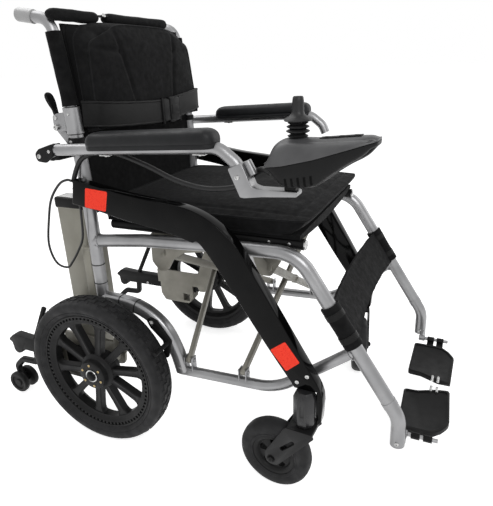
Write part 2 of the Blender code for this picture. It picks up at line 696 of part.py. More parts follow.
def drive_bracket():
    """Axle, bar, riser to the frame's tab, sleeves for the anti-tipper and the drive's junction box."""
    z = WHEEL_R
    bar = plate(rounded([(0.155, z - 0.010), (0.155, z + 0.033), (0.004, z + 0.033), (-0.024, z + 0.014),
                         (-0.020, z - 0.022), (0.006, z - 0.024), (0.012, z - 0.010)],
                        [0, 0, 0.012, 0.014, 0.012, 0, 0], steps=2, closed=True),
                BRACKET_X0, BRACKET_X1)
    top = BOTTOM_Z + 0.1275
    riser = plate(rounded([(-0.018, z - 0.004), (0.008, z + 0.030), (-0.008, z + 0.085), (-0.018, top - 0.028),
                           (-0.018, top), (-0.058, top), (-0.055, top - 0.028), (-0.050, z + 0.072),
                           (-0.030, z + 0.020)], 0.005, steps=1, closed=True), BRACKET_X0, BRACKET_X1)
    axle = rod(AXLE_R, (BRACKET_X0 + 0.003, 0, z), (WHEEL_X - 0.0090, 0, z), 12)
    collar = rod(0.0125, (BRACKET_X0 + 0.003, 0, z), (WHEEL_X + HUB_INNER - 0.0010, 0, z), 12)
    outer = TIPPER_X + TIPPER_HALF + 0.0028
    box_top = TIPPER_BOTTOM - GAP
    box_bottom = z - 0.071
    box = plate(rounded([(0.147, box_top), (0.147, box_top - 0.014), (0.133, box_bottom), (0.047, box_bottom),
                         (0.031, box_top - 0.018), (0.031, box_top)], [0, 0, 0.006, 0.006, 0, 0],
                        steps=1, closed=True), BRACKET_X0, outer - 0.001)
    notch = block(BRACKET_X0 - 0.01, outer + 0.01, 0.043, 0.066, box_bottom + 0.008, box_top - 0.005)
    sleeves = [block(BRACKET_X0 + 0.003, outer, y, y + 0.016, TIPPER_BOTTOM - 0.006, TIPPER_TOP + 0.003)
               for y in (0.040, 0.132)]
    web = block(BRACKET_X0, BRACKET_X1, 0.031, 0.147, box_top - 0.004, z - 0.004)
    channel = block(TIPPER_X - TIPPER_HALF - GAP, TIPPER_X + TIPPER_HALF + GAP, TIPPER_FRONT - 0.010, 0.30,
                    TIPPER_BOTTOM - GAP, TIPPER_TOP + GAP)
    return cut(union(bar, riser, axle, collar, box, web, *sleeves), channel, notch)


def anti_tipper():
    x0, x1 = TIPPER_X - TIPPER_HALF, TIPPER_X + TIPPER_HALF
    z = WHEEL_R
    bar = plate(rounded([(TIPPER_FRONT, TIPPER_BOTTOM), (TIPPER_FRONT, TIPPER_TOP), (0.262, TIPPER_TOP),
                         (0.306, TIPPER_TOP + 0.003), (0.329, z - 0.014), (0.317, z - 0.019),
                         (0.314, z - 0.044), (0.303, z - 0.050), (0.289, z - 0.045), (0.285, TIPPER_BOTTOM)],
                        [0, 0, 0.02, 0.012, 0.003, 0.004, 0.006, 0.005, 0.006, 0.003], steps=1, closed=True),
                x0, x1)
    arm_path = rounded([(0.247, z - 0.025), (0.251, z - 0.071), (0.303, z - 0.074),
                        (0.330, ROLLER_AXLE[1] + 0.038), ROLLER_AXLE],
                       [0, 0.010, 0.014, 0.014, 0], steps=2)
    arm_bar = sweep(side_path(arm_path, TIPPER_X), rounded_box(0.0140, 0.0150, 0.003, 1))
    lever = sweep(side_path([(0.244, TIPPER_TOP - 0.006), (0.192, TIPPER_TOP + 0.092)], TIPPER_X),
                  rounded_box(0.0100, 0.0120, 0.003, 1))
    eye = rod(0.0105, (TIPPER_X - 0.0075, *ROLLER_AXLE), (TIPPER_X + 0.0075, *ROLLER_AXLE), 14)
    bore = rod(0.0050 + RUNNING, (TIPPER_X - 0.02, *ROLLER_AXLE), (TIPPER_X + 0.02, *ROLLER_AXLE), 14)
    return cut(union(bar, arm_bar, lever, eye), bore)


def anti_tip_rollers():
    """Two rollers on one turning axle."""
    half = [(0.0050, 0.0082), (ROLLER_R - 0.003, 0.0082), (ROLLER_R, 0.0110), (ROLLER_R, 0.0195),
            (ROLLER_R - 0.003, 0.0225), (0.011, 0.0225)]
    profile = [(0, -0.0195)] + [(r, -a) for r, a in reversed(half)] + half + [(0, 0.0195)]
    return turned(profile, 16)


# Armrests

def armrest_hinge():
    y, z = ARMREST_PIVOT
    x0, x1 = FRAME_X - 0.011, ARMREST_X - ARMREST_EYE_HALF - 0.0004
    back = STRUT_END + GAP
    body = plate(rounded([(back, z - 0.012), (back, z + 0.0120), (y, z + 0.0135), (y + 0.0135, z),
                          (y, z - 0.0135)], [0.002, 0.004, 0.010, 0.012, 0.010], steps=3, closed=True),
                 x0, x1, 0.001)
    pin = rod(0.0040, (x1 - 0.002, y, z), (ARMREST_X + ARMREST_EYE_HALF + 0.0010, y, z), 12)
    return union(body, pin)


def armrest_path():
    return rounded([ARMREST_PIVOT, ARMREST_REAR, ARMREST_FRONT, (-0.3545, POST_TOP - 0.0320),
                    (-0.3630, POST_TOP - 0.0510)], [0, 0.02, 0.04, 0.03, 0], steps=3)


def armrest_tube():
    y, z = ARMREST_PIVOT
    tube = sweep(side_path(armrest_path(), ARMREST_X), circle(ARMREST_TUBE_R))
    eye = rod(0.0120, (ARMREST_X - ARMREST_EYE_HALF, y, z), (ARMREST_X + ARMREST_EYE_HALF, y, z), 12)
    bore = rod(0.0046, (ARMREST_X - 0.02, y, z), (ARMREST_X + 0.02, y, z), 12)
    return cut(union(tube, eye), bore)


def armrest_pad():
    """A block that stands on the tube's middle line and slopes with it."""
    middle = 0.5 * (PAD_REAR + PAD_FRONT)
    reach = 0.5 * (PAD_REAR - PAD_FRONT)
    height = ARMREST_REAR[1] + ARMREST_SLOPE * (ARMREST_REAR[0] - middle)
    body = block(-PAD_HALF, PAD_HALF, -reach, reach, 0.0, PAD_THICK, 0.010)
    tilt = Matrix.Rotation(-math.atan(ARMREST_SLOPE), 4, "X")
    body = moved(body, (ARMREST_X, middle, height), tilt)
    channel = sweep(side_path(armrest_path(), ARMREST_X), circle(ARMREST_TUBE_R + 2 * GAP))
    return cut(body, channel)


# Back

def cane_path():
    return rounded([CANE_FOOT, CANE_COLLAR_TOP, CANE_CORNER, CANE_END], [0, 0, 0.032, 0], steps=4)


def back_cane():
    x = FRAME_X
    tube = sweep(side_path(cane_path(), x), circle(CANE_R))
    collar = sweep(side_path([CANE_FOOT, CANE_COLLAR_TOP], x), circle(COLLAR_R, 12))
    py, pz = BACK_PIVOT
    qy, qz = PADDLE_PIVOT
    ear = rounded([(0.014, pz - 0.006), (py - 0.004, pz - 0.0085), (py + 0.0095, pz - 0.004),
                   (qy + 0.0075, qz + 0.004), (qy - 0.004, qz + 0.0085), (0.016, qz + 0.012)],
                  [0, 0.006, 0.008, 0.006, 0.006, 0], 2, True)
    ears = [plate(ear, x - 0.0095, x - 0.0036), plate(ear, x + 0.0036, x + 0.0095)]
    bolt_hole = rod(0.0041, (x - 0.02, py, pz), (x + 0.02, py, pz))
    pin = rod(0.0030, (x - 0.0110, qy, qz), (x + 0.0110, qy, qz))
    return union(cut(union(tube, collar, *ears), bolt_hole), pin)


def release_paddle():
    x = FRAME_X
    y, z = PADDLE_PIVOT
    neck = plate(rounded([(y - 0.0060, z - 0.006), (y + 0.0070, z - 0.006), (y + 0.0140, z + 0.020),
                          (y + 0.0060, z + 0.020)], [0.005, 0.005, 0, 0], 3, True), x - 0.0033, x + 0.0033)
    blade = plate(rounded([(y + 0.0052, z + 0.0135), (y + 0.0118, z + 0.0115), (y + 0.0220, z + 0.045),
                           (y + 0.0145, z + 0.047)], [0.001, 0.002, 0.003, 0.003], 2, True),
                  x - 0.0110, x + 0.0110)
    return cut(union(neck, blade), rod(0.0035, (x - 0.02, y, z), (x + 0.02, y, z)))


def push_grip():
    path = [p for p in cane_path() if p[0] > GRIP_START]
    start = (GRIP_START, CANE_END[1] - (CANE_END[0] - GRIP_START) * 0.171)
    end = (CANE_END[0] + 0.0025, CANE_END[1] + 0.0004)
    points = [start] + [tuple(p) for p in path[:-1]] + [end]
    body = sweep(side_path(points, FRAME_X), circle(GRIP_R, 12))
    channel = sweep(side_path(cane_path(), FRAME_X), circle(CANE_R + GAP))
    return cut(body, channel)


def cane_at(z):
    """The cane's middle line (y) at a height between its collar and its bend."""
    share = (z - CANE_COLLAR_TOP[1]) / (CANE_CORNER[1] - CANE_COLLAR_TOP[1])
    return CANE_COLLAR_TOP[0] + share * (CANE_CORNER[0] - CANE_COLLAR_TOP[0])


def sling_face(z):
    """The sling's front face (y) at a height."""
    share = (z - SLING_LOW) / (SLING_HIGH - SLING_LOW)
    return SLING_LOW_Y + share * (SLING_HIGH_Y - SLING_LOW_Y)


def back_sling():
    """The sling between the canes, with a sleeve round each."""
    low, high = CANE_COLLAR_TOP[1] + 0.007, CANE_CORNER[1] - 0.027

    def strip(z0, z1, half):
        return plate([(sling_face(z0), z0), (sling_face(z0) + SLING_THICK, z0),
                      (sling_face(z1) + SLING_THICK, z1), (sling_face(z1), z1)], -half, half)

    sheet = strip(SLING_LOW, SLING_HIGH, SLING_HALF)
    wings = strip(low, high, FRAME_X)
    line = [(cane_at(low), low), (cane_at(high), high)]
    sleeves = [sweep(side_path(line, x), circle(SLEEVE_R, 12)) for x in (-FRAME_X, FRAME_X)]
    channels = [sweep(side_path(cane_path(), x), circle(CANE_R + GAP)) for x in (-FRAME_X, FRAME_X)]
    return cut(union(sheet, wings, *sleeves), *channels)


def back_cushion():
    low, high = SLING_LOW, SLING_HIGH
    face_low, face_high = sling_face(low) - 2 * GAP, sling_face(high) - 2 * GAP
    outline = rounded([(face_low, low), (face_high, high), (face_high + 0.0100, high + 0.002),
                       (face_high + 0.0100, high + 0.026), (face_high - 0.030, high + 0.028),
                       (face_high - 0.046, high - 0.038), (face_low - 0.044, low + 0.012),
                       (face_low - 0.036, low)],
                      [0.003, 0, 0.004, 0.008, 0.018, 0.05, 0.012, 0.006], steps=3, closed=True)
    return plate(outline, -CUSHION_HALF, CUSHION_HALF, 0.004)


# Seat

def seat_cushion():
    """Sprung on a thin sling over the two seat rails, which it rests on."""
    def plan(half, rear, front, corner):
        corners = [(-half, rear), (-half, front), (half, front), (half, rear)]
        return rounded(corners, corner, steps=4, closed=True)
    cushion = level_plate(plan(SEAT_HALF, SEAT_REAR, SEAT_FRONT, 0.028), SEAT_BOTTOM, SEAT_TOP, 0.010)
    sling_half = RAIL_X + RAIL_R
    sling = level_plate(plan(sling_half, RAIL_REAR + 0.004, RAIL_FRONT + 0.006, 0.004),
                        RAIL_Z + RAIL_R + GAP, SEAT_BOTTOM + 0.012)
    return union(cushion, sling)


def seat_rail():
    rail = rod(RAIL_R, (RAIL_X, RAIL_REAR, RAIL_Z), (RAIL_X, RAIL_FRONT, RAIL_Z), 14)
    plug = rod(RAIL_R - 0.003, (RAIL_X, RAIL_FRONT + 0.004, RAIL_Z), (RAIL_X, RAIL_FRONT - 0.004, RAIL_Z), 14)
    return union(rail, plug)


# Cross braces

def brace_end():
    """Where a leg's middle line meets the plane of the seat rail."""
    slope = (BRACE_MID_Z - BRACE_FOOT_Z) / FRAME_X
    return BRACE_MID_Z + slope * RAIL_X


def brace_leg(station, side, gusset):
    """A leg from the bottom tube on the -X side to the rail on the +X side. side is +1 or -1 in Y."""
    foot_y, top_y = station
    shift = side * LEG_SHIFT
    foot = Vector((-FRAME_X, foot_y + shift, BRACE_FOOT_Z))
    top = Vector((RAIL_X, top_y + shift, brace_end()))
    bar = sweep([foot, top], rounded_box(LEG_THICK, LEG_WIDE, 0.003, 1), (0.0, 1.0, 0.0))
    half = LEG_THICK / 2
    eye = rod(0.0080, foot - Vector((0, half, 0)), foot + Vector((0, half, 0)), 12)
    hole = rod(LEG_PIN_R + RUNNING, foot - Vector((0, 0.02, 0)), foot + Vector((0, 0.02, 0)), 12)
    head = plate(rounded(gusset, 0.006, steps=1, closed=True), GUSSET_X0, GUSSET_X1)
    return union(cut(union(bar, eye), hole), head)


def mid_y(station):
    foot_y, top_y = station
    return foot_y + (top_y - foot_y) * FRAME_X / (FRAME_X + RAIL_X)


def brace_pair(name, station, gusset, metal):
    """Leg a carries the bolt that leg b turns on."""
    bolt_y = mid_y(station)
    middle = Vector((0.0, bolt_y, BRACE_MID_Z))
    leg_a = brace_leg(station, 1, gusset)
    face = LEG_SHIFT - LEG_THICK / 2
    spacer = rod(0.0075, middle + Vector((0, face + 0.001, 0)), middle - Vector((0, face - 0.0030, 0)), 12)
    bolt = rod(0.0040, middle + Vector((0, face + 0.001, 0)), middle - Vector((0, LEG_SHIFT + 0.008, 0)), 12)
    leg_a = union(leg_a, spacer, bolt)
    hole = rod(0.0048, middle, middle - Vector((0, LEG_SHIFT + 0.02, 0)), 12)
    boss = rod(0.0100, middle - Vector((0, face, 0)), middle - Vector((0, face + LEG_THICK, 0)), 12)
    leg_b = mirrored(cut(union(brace_leg(station, -1, gusset), boss), hole))
    add(name + "_a", leg_a, metal, (-FRAME_X, station[0] + LEG_SHIFT, BRACE_FOOT_Z))
    add(name + "_b", leg_b, metal, (0.0, bolt_y, BRACE_MID_Z))


def front_gusset():
    top = GUSSET_TOP
    return [(-0.346, top), (-0.412, top), (-0.402, top - 0.032), (-0.384, top - 0.062),
            (-0.360, top - 0.062), (-0.349, top - 0.032)]


def rear_gusset():
    top = GUSSET_TOP
    return [(-0.118, top), (-0.250, top), (-0.246, top - 0.030), (-0.196, top - 0.038), (-0.168, top - 0.056),
            (-0.152, top - 0.083), (-0.132, top - 0.086), (-0.116, top - 0.066)]


# Footplates

def footplate():
    """A rounded plate with a raised rim, and two knuckles on the pin along Y.

    Its inner lower edge is sloped off, so that the pair clear each other as they fold.
    """
    z = FOOTPLATE_Z
    outline = rounded([(FOOTPLATE_IN, FOOTPLATE_FRONT + 0.004), (FOOTPLATE_IN + 0.006, FOOTPLATE_REAR - 0.063),
                       (FOOTPLATE_IN + 0.022, FOOTPLATE_REAR - 0.028), (FOOTPLATE_IN + 0.024, FOOTPLATE_REAR),
                       (FOOTPLATE_OUT, FOOTPLATE_REAR - 0.002), (FOOTPLATE_OUT, FOOTPLATE_FRONT + 0.024),
                       (FOOTPLATE_OUT - 0.040, FOOTPLATE_FRONT)],
                      [0.006, 0.02, 0.02, 0.006, 0.006, 0.035, 0.03], steps=2, closed=True)
    body = level_plate(outline, z, z + FOOTPLATE_THICK, 0.0015)
    centre = Vector((0.5 * (FOOTPLATE_IN + FOOTPLATE_OUT), 0.5 * (FOOTPLATE_REAR + FOOTPLATE_FRONT)))
    inner = [centre + (Vector(p) - centre) * 0.90 for p in outline]
    tray = level_plate(inner, z + FOOTPLATE_THICK - 0.0025, z + FOOTPLATE_THICK + 0.01)
    toe = plate([(FOOTPLATE_IN - 0.010, z - 0.001), (FOOTPLATE_IN + 0.0072, z - 0.001), (FOOTPLATE_IN - 0.0004, z + 0.0105),
                 (FOOTPLATE_IN - 0.010, z + 0.0105)], -FOOTPLATE_REAR - 0.01, -FOOTPLATE_FRONT + 0.01)
    toe.transform(Matrix(((0, 1, 0, 0), (-1, 0, 0, 0), (0, 0, 1, 0), (0, 0, 0, 1))))
    knuckles, bores = [], []
    for y in (FOOTPLATE_REAR - 0.0380, FOOTPLATE_REAR - 0.0600):
        knuckles.append(rod(0.0066, (FOOT_PIN_X, y + 0.008, FOOT_PIN_Z), (FOOT_PIN_X, y - 0.008, FOOT_PIN_Z)))
        knuckles.append(block(FOOTPLATE_OUT - 0.006, FOOT_PIN_X - 0.0045, y - 0.0078, y + 0.0078,
                              z + 0.0085, z + FOOTPLATE_THICK - 0.0005))
    bores.append(rod(FOOT_PIN_R + RUNNING, (FOOT_PIN_X, FOOTPLATE_REAR - 0.02, FOOT_PIN_Z),
                     (FOOT_PIN_X, FOOTPLATE_FRONT - 0.02, FOOT_PIN_Z)))
    return cut(union(body, *knuckles), tray, toe, *bores)


# Calf strap

def calf_strap():
    """A band between the two legs, with a sleeve round each."""
    high, low = 0.398, 0.325
    rear = leg_point(high) + 0.0110
    front = leg_point(low) + 0.0073
    corners = [(rear, high), (rear - 0.0050, high + 0.001), (front - 0.0050, low + 0.004), (front, low)]
    band = plate(rounded(corners, 0.001, steps=1, closed=True), -FRAME_X, FRAME_X)
    tubes = []
    for x in (-FRAME_X, FRAME_X):
        line = [(leg_point(high + 0.002), high + 0.002), (leg_point(low + 0.004), low + 0.004)]
        tubes.append(sweep(side_path(line, x), circle(TUBE_R + 0.0045, 12)))
    channels = []
    for x in (-FRAME_X, FRAME_X):
        channels.append(sweep(side_path(seat_tube_path(), x), circle(TUBE_R + 2 * GAP)))
        channels.append(sweep(side_path(bottom_path(), x), circle(BOTTOM_R + 2 * GAP)))
    return cut(union(band, *tubes), *channels)


# Battery, on the right side

def battery_pack():
    def column(margin, z0, z1, corner):
        x0, x1 = -BATTERY_X1 - margin, -BATTERY_X0 + margin
        y0, y1 = BATTERY_Y0 - margin, BATTERY_Y1 + margin
        outline = rounded([(x0, y0), (x1, y0), (x1, y1), (x0, y1)], corner, steps=3, closed=True)
        return level_plate(outline, z0, z1, 0.002)
    body = column(-0.0006, BATTERY_Z0, BATTERY_Z1 + 0.002, 0.009)
    cap = column(0.0, BATTERY_Z1, BATTERY_CAP_TOP, 0.009)
    light = block(-BATTERY_X1 + 0.010, -BATTERY_X0 - 0.010, BATTERY_Y0 + 0.010, BATTERY_Y0 + 0.016,
                  BATTERY_CAP_TOP - 0.002, BATTERY_CAP_TOP + 0.0015)
    return union(body, cap, light)


def battery_dock():
    """The holder between the rear post and the battery."""
    back = BATTERY_Y0 + GAP
    front = 0.0065 + TUBE_R + 2 * GAP
    return block(-FRAME_X - 0.006, -BATTERY_X0 - 0.005, front, back, 0.225, 0.445, 0.002)


# The battery's cable: (outboard of the side frame, y, z), chosen by hand
BATTERY_CABLE = [
    (0.0326, 0.0110, 0.5985), (0.0326, 0.0250, 0.5995), (0.0310, 0.0480, 0.5890), (0.0280, 0.0790, 0.5560),
    (0.0230, 0.1011, 0.5109), (0.0180, 0.1210, 0.4478), (0.0160, 0.1106, 0.4052), (0.0140, 0.0827, 0.3961),
    (0.0140, 0.0640, 0.4130), (0.0165, 0.0366, 0.4475), (0.0200, 0.0190, 0.4770), (0.0290, 0.0050, 0.5280),
    (0.0320, 0.0010, 0.5525),
]


# Joystick controller, on the right armrest

def joystick_bracket():
    x0, x1 = -ARMREST_X - 0.0135, -ARMREST_X + 0.0135
    z, top = POST_TOP, CONTROLLER_FOOT_Z
    outline = rounded([(-0.3434, z - 0.0386), (-0.3686, z - 0.0283), (-0.3850, z - 0.0661), (-0.3956, top),
                       (-0.4622, top), (-0.4622, top - 0.0086), (-0.4023, top - 0.0126), (-0.3717, z - 0.0860),
                       (-0.3641, z - 0.0853)],
                      [0.003, 0.003, 0.006, 0.006, 0.003, 0.003, 0.02, 0.003, 0.003], steps=2, closed=True)
    tube = armrest_path()
    tube[-1] = tube[-1] + (tube[-1] - tube[-2]).normalized() * GAP
    socket = sweep(side_path(tube, -ARMREST_X), circle(ARMREST_TUBE_R + 2 * GAP))
    return cut(plate(outline, x0, x1, 0.001), socket)


def parting_line(drop):
    """Where the lid meets the base, from the rear to the front; drop lowers it."""
    z = LID_TOP - drop
    return [(-0.4090, z - 0.0455), (-0.4448, z - 0.0393), (-0.4919, z - 0.0281), (-0.5596, z - 0.0068),
            (-0.5815, z - 0.0008)]


def lid_surface(y):
    """The height of the lid's top, which rises a little under the buttons."""
    return LID_TOP + 0.09 * max(0.0, -0.5017 - y)


def controller_base():
    """The lower shell, with the block that it stands on the bracket with."""
    z, mid = LID_TOP, -ARMREST_X
    under = [(-0.5740, z - 0.0105), (-0.5593, z - 0.0202), (-0.5229, z - 0.0489), (-0.4990, z - 0.0678),
             (-0.4882, z - 0.0748), (-0.4512, z - 0.0781), (-0.4363, z - 0.0752), (-0.4264, z - 0.0630)]
    shell = plate(parting_line(0.0004) + under, mid - CONTROLLER_HALF, mid + CONTROLLER_HALF, 0.006)
    foot = block(mid - 0.010, mid + 0.010, -0.4590, -0.4400, CONTROLLER_FOOT_Z + GAP, z - 0.0740)
    return union(shell, foot)


def controller_lid():
    mid = -ARMREST_X
    top = [(-0.5835, lid_surface(-0.5835) - 0.0045), (-0.5770, lid_surface(-0.5770)), (-0.5017, LID_TOP),
           (-0.4461, LID_TOP), (-0.4295, LID_TOP - 0.0052), (-0.4159, LID_TOP - 0.0185),
           (-0.4088, LID_TOP - 0.0315)]
    lid = plate(parting_line(0.0) + top, mid - CONTROLLER_HALF, mid + CONTROLLER_HALF, 0.006)
    pockets = [rod(BUTTON_R + RUNNING, (mid, y, lid_surface(y) - 0.0050), (mid, y, lid_surface(y) + 0.01), 14)
               for y in BUTTON_YS]
    return cut(lid, joined(pockets))


def upright(mesh):
    """A shape turned about X, stood up along Z."""
    copy = mesh.copy()
    copy.transform(Matrix.Rotation(math.radians(-90.0), 4, "Y"))
    return copy


def joystick_boot():
    """Two bellows under the stick."""
    rise = 0.0205
    profile = [(0, -0.0022), (0.0040, -0.0012), (0.0080, 0.0045), (0.0178, 0.0075), (0.0135, 0.0105),
               (0.0165, 0.0135), (0.0120, 0.0165), (0.0125, rise - 0.001), (0.0, rise - 0.001)]
    return upright(turned(profile, 16))


def joystick_knob():
    rise = 0.0205
    profile = [(0, rise), (0.0205, rise - 0.0003), (0.0213, rise + 0.002), (0.0130, rise + 0.0075),
               (0.0090, rise + 0.013), (0.0088, rise + 0.029), (0.0072, rise + 0.0355), (0, rise + 0.0360)]
    return upright(turned(profile, 16))


def add_controller(silver, dark, black, gloss, rubber):
    add("joystick_bracket", joystick_bracket(), silver)
    add("controller_base", controller_base(), dark)
    add("controller_lid", controller_lid(), dark)
    pivot = (-ARMREST_X, JOYSTICK_Y, GIMBAL_Z)
    add("joystick_boot", moved(joystick_boot(), pivot), rubber, pivot)
    add("joystick_knob", moved(joystick_knob(), pivot), dark, pivot)
    for name, y in zip(("button_power", "button_slower", "button_faster"), BUTTON_YS):
        low, high = lid_surface(y) - 0.0028, lid_surface(y) + 0.0018
        add(name, rod(BUTTON_R, (-ARMREST_X, y, low), (-ARMREST_X, y, high), 14), black, (-ARMREST_X, y, low))
    gland_y, gland_z = CABLE_GLAND
    route = [(-CABLE_X, gland_y, gland_z + rise) for rise in (2 * GAP, 0.008, 0.016)]
    route += [(-CABLE_X - outboard, y, POST_TOP - drop) for outboard, y, drop in JOYSTICK_CABLE]
    add_cord("joystick_cable", smooth(route, per=3), CABLE_R, gloss)


# The controller's cable after its gland: (outboard, y, depth below the post's top), chosen by hand
JOYSTICK_CABLE = [
    (0, -0.0060, 0.0510), (0, -0.0290, 0.0350), (0, -0.0660, 0.0280), (0, -0.1010, 0.0290),
    (0, -0.1640, 0.0480), (0, -0.2240, 0.0720), (0, -0.2830, 0.0830), (0, -0.3400, 0.0770),
    (0, -0.3640, 0.0625), (0.0003, -0.3800, 0.0505), (0.0026, -0.3886, 0.0445), (0.0095, -0.3972, 0.0415),
    (0.0164, -0.4058, 0.0415), (0.0190, -0.4141, 0.0445),
]


def build():
    silver = finish("satin silver", (0.62, 0.62, 0.63), 0.32, 0.9)
    stone = finish("warm grey metal", (0.36, 0.35, 0.31), 0.45, 0.6)
    gloss = finish("gloss black", (0.012, 0.012, 0.012), 0.12)
    black = finish("black plastic", (0.030, 0.031, 0.033), 0.55)
    rubber = finish("tyre rubber", (0.045, 0.045, 0.045), 0.8)
    foam = finish("black moulded foam", (0.040, 0.041, 0.044), 0.6)
    cloth = finish("black cloth", (0.032, 0.033, 0.036), 0.95)
    dark = finish("dark grey plastic", (0.11, 0.11, 0.12), 0.4)
    pearl = finish("grey battery case", (0.34, 0.33, 0.28), 0.5)
    grey = finish("light grey grip", (0.50, 0.50, 0.50), 0.5)

    add("side_frame_left", side_frame(-1), silver)
    add("side_frame_right", mirrored(side_frame(1)), silver)
    add("arm_left", arm(), gloss)
    add("arm_right", mirrored(union(arm(), cable_gland())), gloss)
    add_pair("caster_housing", caster_housing(), dark)
    add_casters(stone, black, rubber)

    hub = (WHEEL_X, 0.0, WHEEL_R)
    add_pair("rear_rim", moved(rear_rim(), hub), black, hub)
    add_pair("rear_tyre", moved(tyre(WHEEL_R, RIM_R + GAP, TYRE_HALF, 0.62 * TYRE_HALF, 30), hub), rubber, hub)
    add_pair("brake_lever", brake_lever(), black, (FRAME_X + TUBE_R + 0.003, *BRAKE_PIVOT))
    add_pair("drive_bracket", drive_bracket(), stone)
    add_pair("anti_tipper", anti_tipper(), black, (TIPPER_X, TIPPER_FRONT, TIPPER_BOTTOM))
    roller_axle = (TIPPER_X, *ROLLER_AXLE)
    add_pair("anti_tip_rollers", moved(anti_tip_rollers(), roller_axle), black, roller_axle)

    add_pair("armrest_hinge", armrest_hinge(), black)
    add_pair("armrest_tube", armrest_tube(), silver, (ARMREST_X, *ARMREST_PIVOT))
    add_pair("armrest_pad", armrest_pad(), foam, (ARMREST_X, *ARMREST_PIVOT))
    add_pair("back_cane", back_cane(), silver, (FRAME_X, *BACK_PIVOT))
    add_pair("push_grip", push_grip(), grey, (FRAME_X, *BACK_PIVOT))
    add_pair("release_paddle", release_paddle(), black, (FRAME_X, *PADDLE_PIVOT))
    add("back_sling", back_sling(), cloth)
    add("back_cushion", back_cushion(), cloth)

    brace_pair("brace_front", FRONT_BRACE, front_gusset(), stone)
    brace_pair("brace_rear", REAR_BRACE, rear_gusset(), stone)
    add_pair("seat_rail", seat_rail(), black)
    add("seat_cushion", seat_cushion(), cloth)
    add("calf_strap", calf_strap(), cloth)
    add_pair("footplate", footplate(), black, (FOOT_PIN_X, FOOTPLATE_REAR, FOOT_PIN_Z))

    add("battery_pack", battery_pack(), pearl, (-BATTERY_X1, BATTERY_Y0, BATTERY_Z0))
    add("battery_dock", battery_dock(), dark)
    route = [(-FRAME_X - outboard, y, z) for outboard, y, z in BATTERY_CABLE]
    add_cord("battery_cable", smooth(route, per=2), 0.0025, black)
    add_controller(silver, dark, black, gloss, rubber)


clear_scene()
CHAIR = bpy.data.objects.new("chair", None)
CHAIR.location = (0.0, REAR_AXLE_Y, 0.0)
bpy.context.scene.collection.objects.link(CHAIR)
build()
bpy.context.view_layer.update()
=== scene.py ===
"""The looks of the folding power wheelchair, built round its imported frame.

Shapes are drawn as part.py draws them: in metres, for the left side (+X), in a frame whose origin
lies on the floor under the rear axle. The chair faces -Y, and its user's right is -X.
"""

import json
import math

import bmesh
import bpy
from mathutils import Matrix, Vector, noise

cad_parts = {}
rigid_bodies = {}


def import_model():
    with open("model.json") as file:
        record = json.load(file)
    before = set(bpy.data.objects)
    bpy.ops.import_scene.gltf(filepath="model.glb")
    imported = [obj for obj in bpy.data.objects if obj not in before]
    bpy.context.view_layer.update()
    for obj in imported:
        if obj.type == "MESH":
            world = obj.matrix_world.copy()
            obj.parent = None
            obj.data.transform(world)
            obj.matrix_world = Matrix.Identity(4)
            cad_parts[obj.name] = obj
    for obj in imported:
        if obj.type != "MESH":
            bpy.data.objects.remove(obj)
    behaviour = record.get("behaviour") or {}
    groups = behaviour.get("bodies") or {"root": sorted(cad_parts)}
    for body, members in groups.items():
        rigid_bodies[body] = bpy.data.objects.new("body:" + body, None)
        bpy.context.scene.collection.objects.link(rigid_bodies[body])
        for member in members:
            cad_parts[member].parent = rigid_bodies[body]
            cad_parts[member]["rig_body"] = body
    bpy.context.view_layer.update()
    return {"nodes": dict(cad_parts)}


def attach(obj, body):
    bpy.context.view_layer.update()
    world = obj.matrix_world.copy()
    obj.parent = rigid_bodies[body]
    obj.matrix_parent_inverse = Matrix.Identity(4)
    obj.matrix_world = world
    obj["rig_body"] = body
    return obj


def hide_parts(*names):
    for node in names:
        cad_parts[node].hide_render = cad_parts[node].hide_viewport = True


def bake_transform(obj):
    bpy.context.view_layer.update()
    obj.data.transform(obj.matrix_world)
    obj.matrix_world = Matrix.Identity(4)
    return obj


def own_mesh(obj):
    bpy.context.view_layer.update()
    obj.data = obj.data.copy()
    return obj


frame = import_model()

# Sizes and places repeated from part.py
AXLE_Y = 0.191
GAP = 0.0003
FRAME_X = 0.217
TUBE_R = 0.0135
BOTTOM_R = 0.011
POST_TOP = 0.684
SEAT_TUBE_Z = 0.489
SEAT_TUBE_REAR_Z = 0.463
LEG_CORNER_Y = -0.445
FOOT_Y = -0.640
FOOT_CORNER_Z = 0.191
FOOT_BOTTOM = 0.132
REAR_CORNER_Y = -0.187
BOTTOM_Z = 0.1845
WELD_Z = BOTTOM_Z + 0.133
WHEEL_R = 0.175
WHEEL_X = FRAME_X + 0.0498
RIM_R = 0.1412
HUB_INNER = -0.0275
HUB_FACE = 0.0315
HUB_OUTER = 0.0380
SPOKES = 10
SPOKE_PHASE = math.radians(8.9)
BRAKE_PIVOT = (-0.1290, BOTTOM_Z + 0.1150)
CASTER_R = 0.0745
CASTER_HALF = 0.019
STEM_X = FRAME_X + 0.043
STEM_Y = -0.475
TRAIL = 0.0605
HOUSING_BOTTOM = 0.162
HOUSING_TOP = 0.240
HOUSING_R = 0.0205
CASTER_TURN = {"left": math.radians(102.7), "right": math.radians(-4.0)}
ARM_X0 = FRAME_X + 0.020
ARM_X1 = FRAME_X + 0.045
CABLE_X = FRAME_X + 0.0245
CABLE_R = 0.0048
BRACE_FOOT_Z = 0.216
RAIL_X = FRAME_X - 0.025
RAIL_Z = 0.498
RAIL_R = 0.0105
RAIL_REAR = -0.030
RAIL_FRONT = -0.451
LEG_PIN_R = 0.003
LEG_SHIFT = 0.0105
LEG_THICK = 0.010
CLEVIS_HALF = 0.0095
FRONT_BRACE = (-0.342, -0.372)
REAR_BRACE = (-0.2155, -0.135)
BACK_PIVOT = (0.048, 0.698)
PADDLE_PIVOT = (0.049, 0.7165)
CANE_R = 0.0105
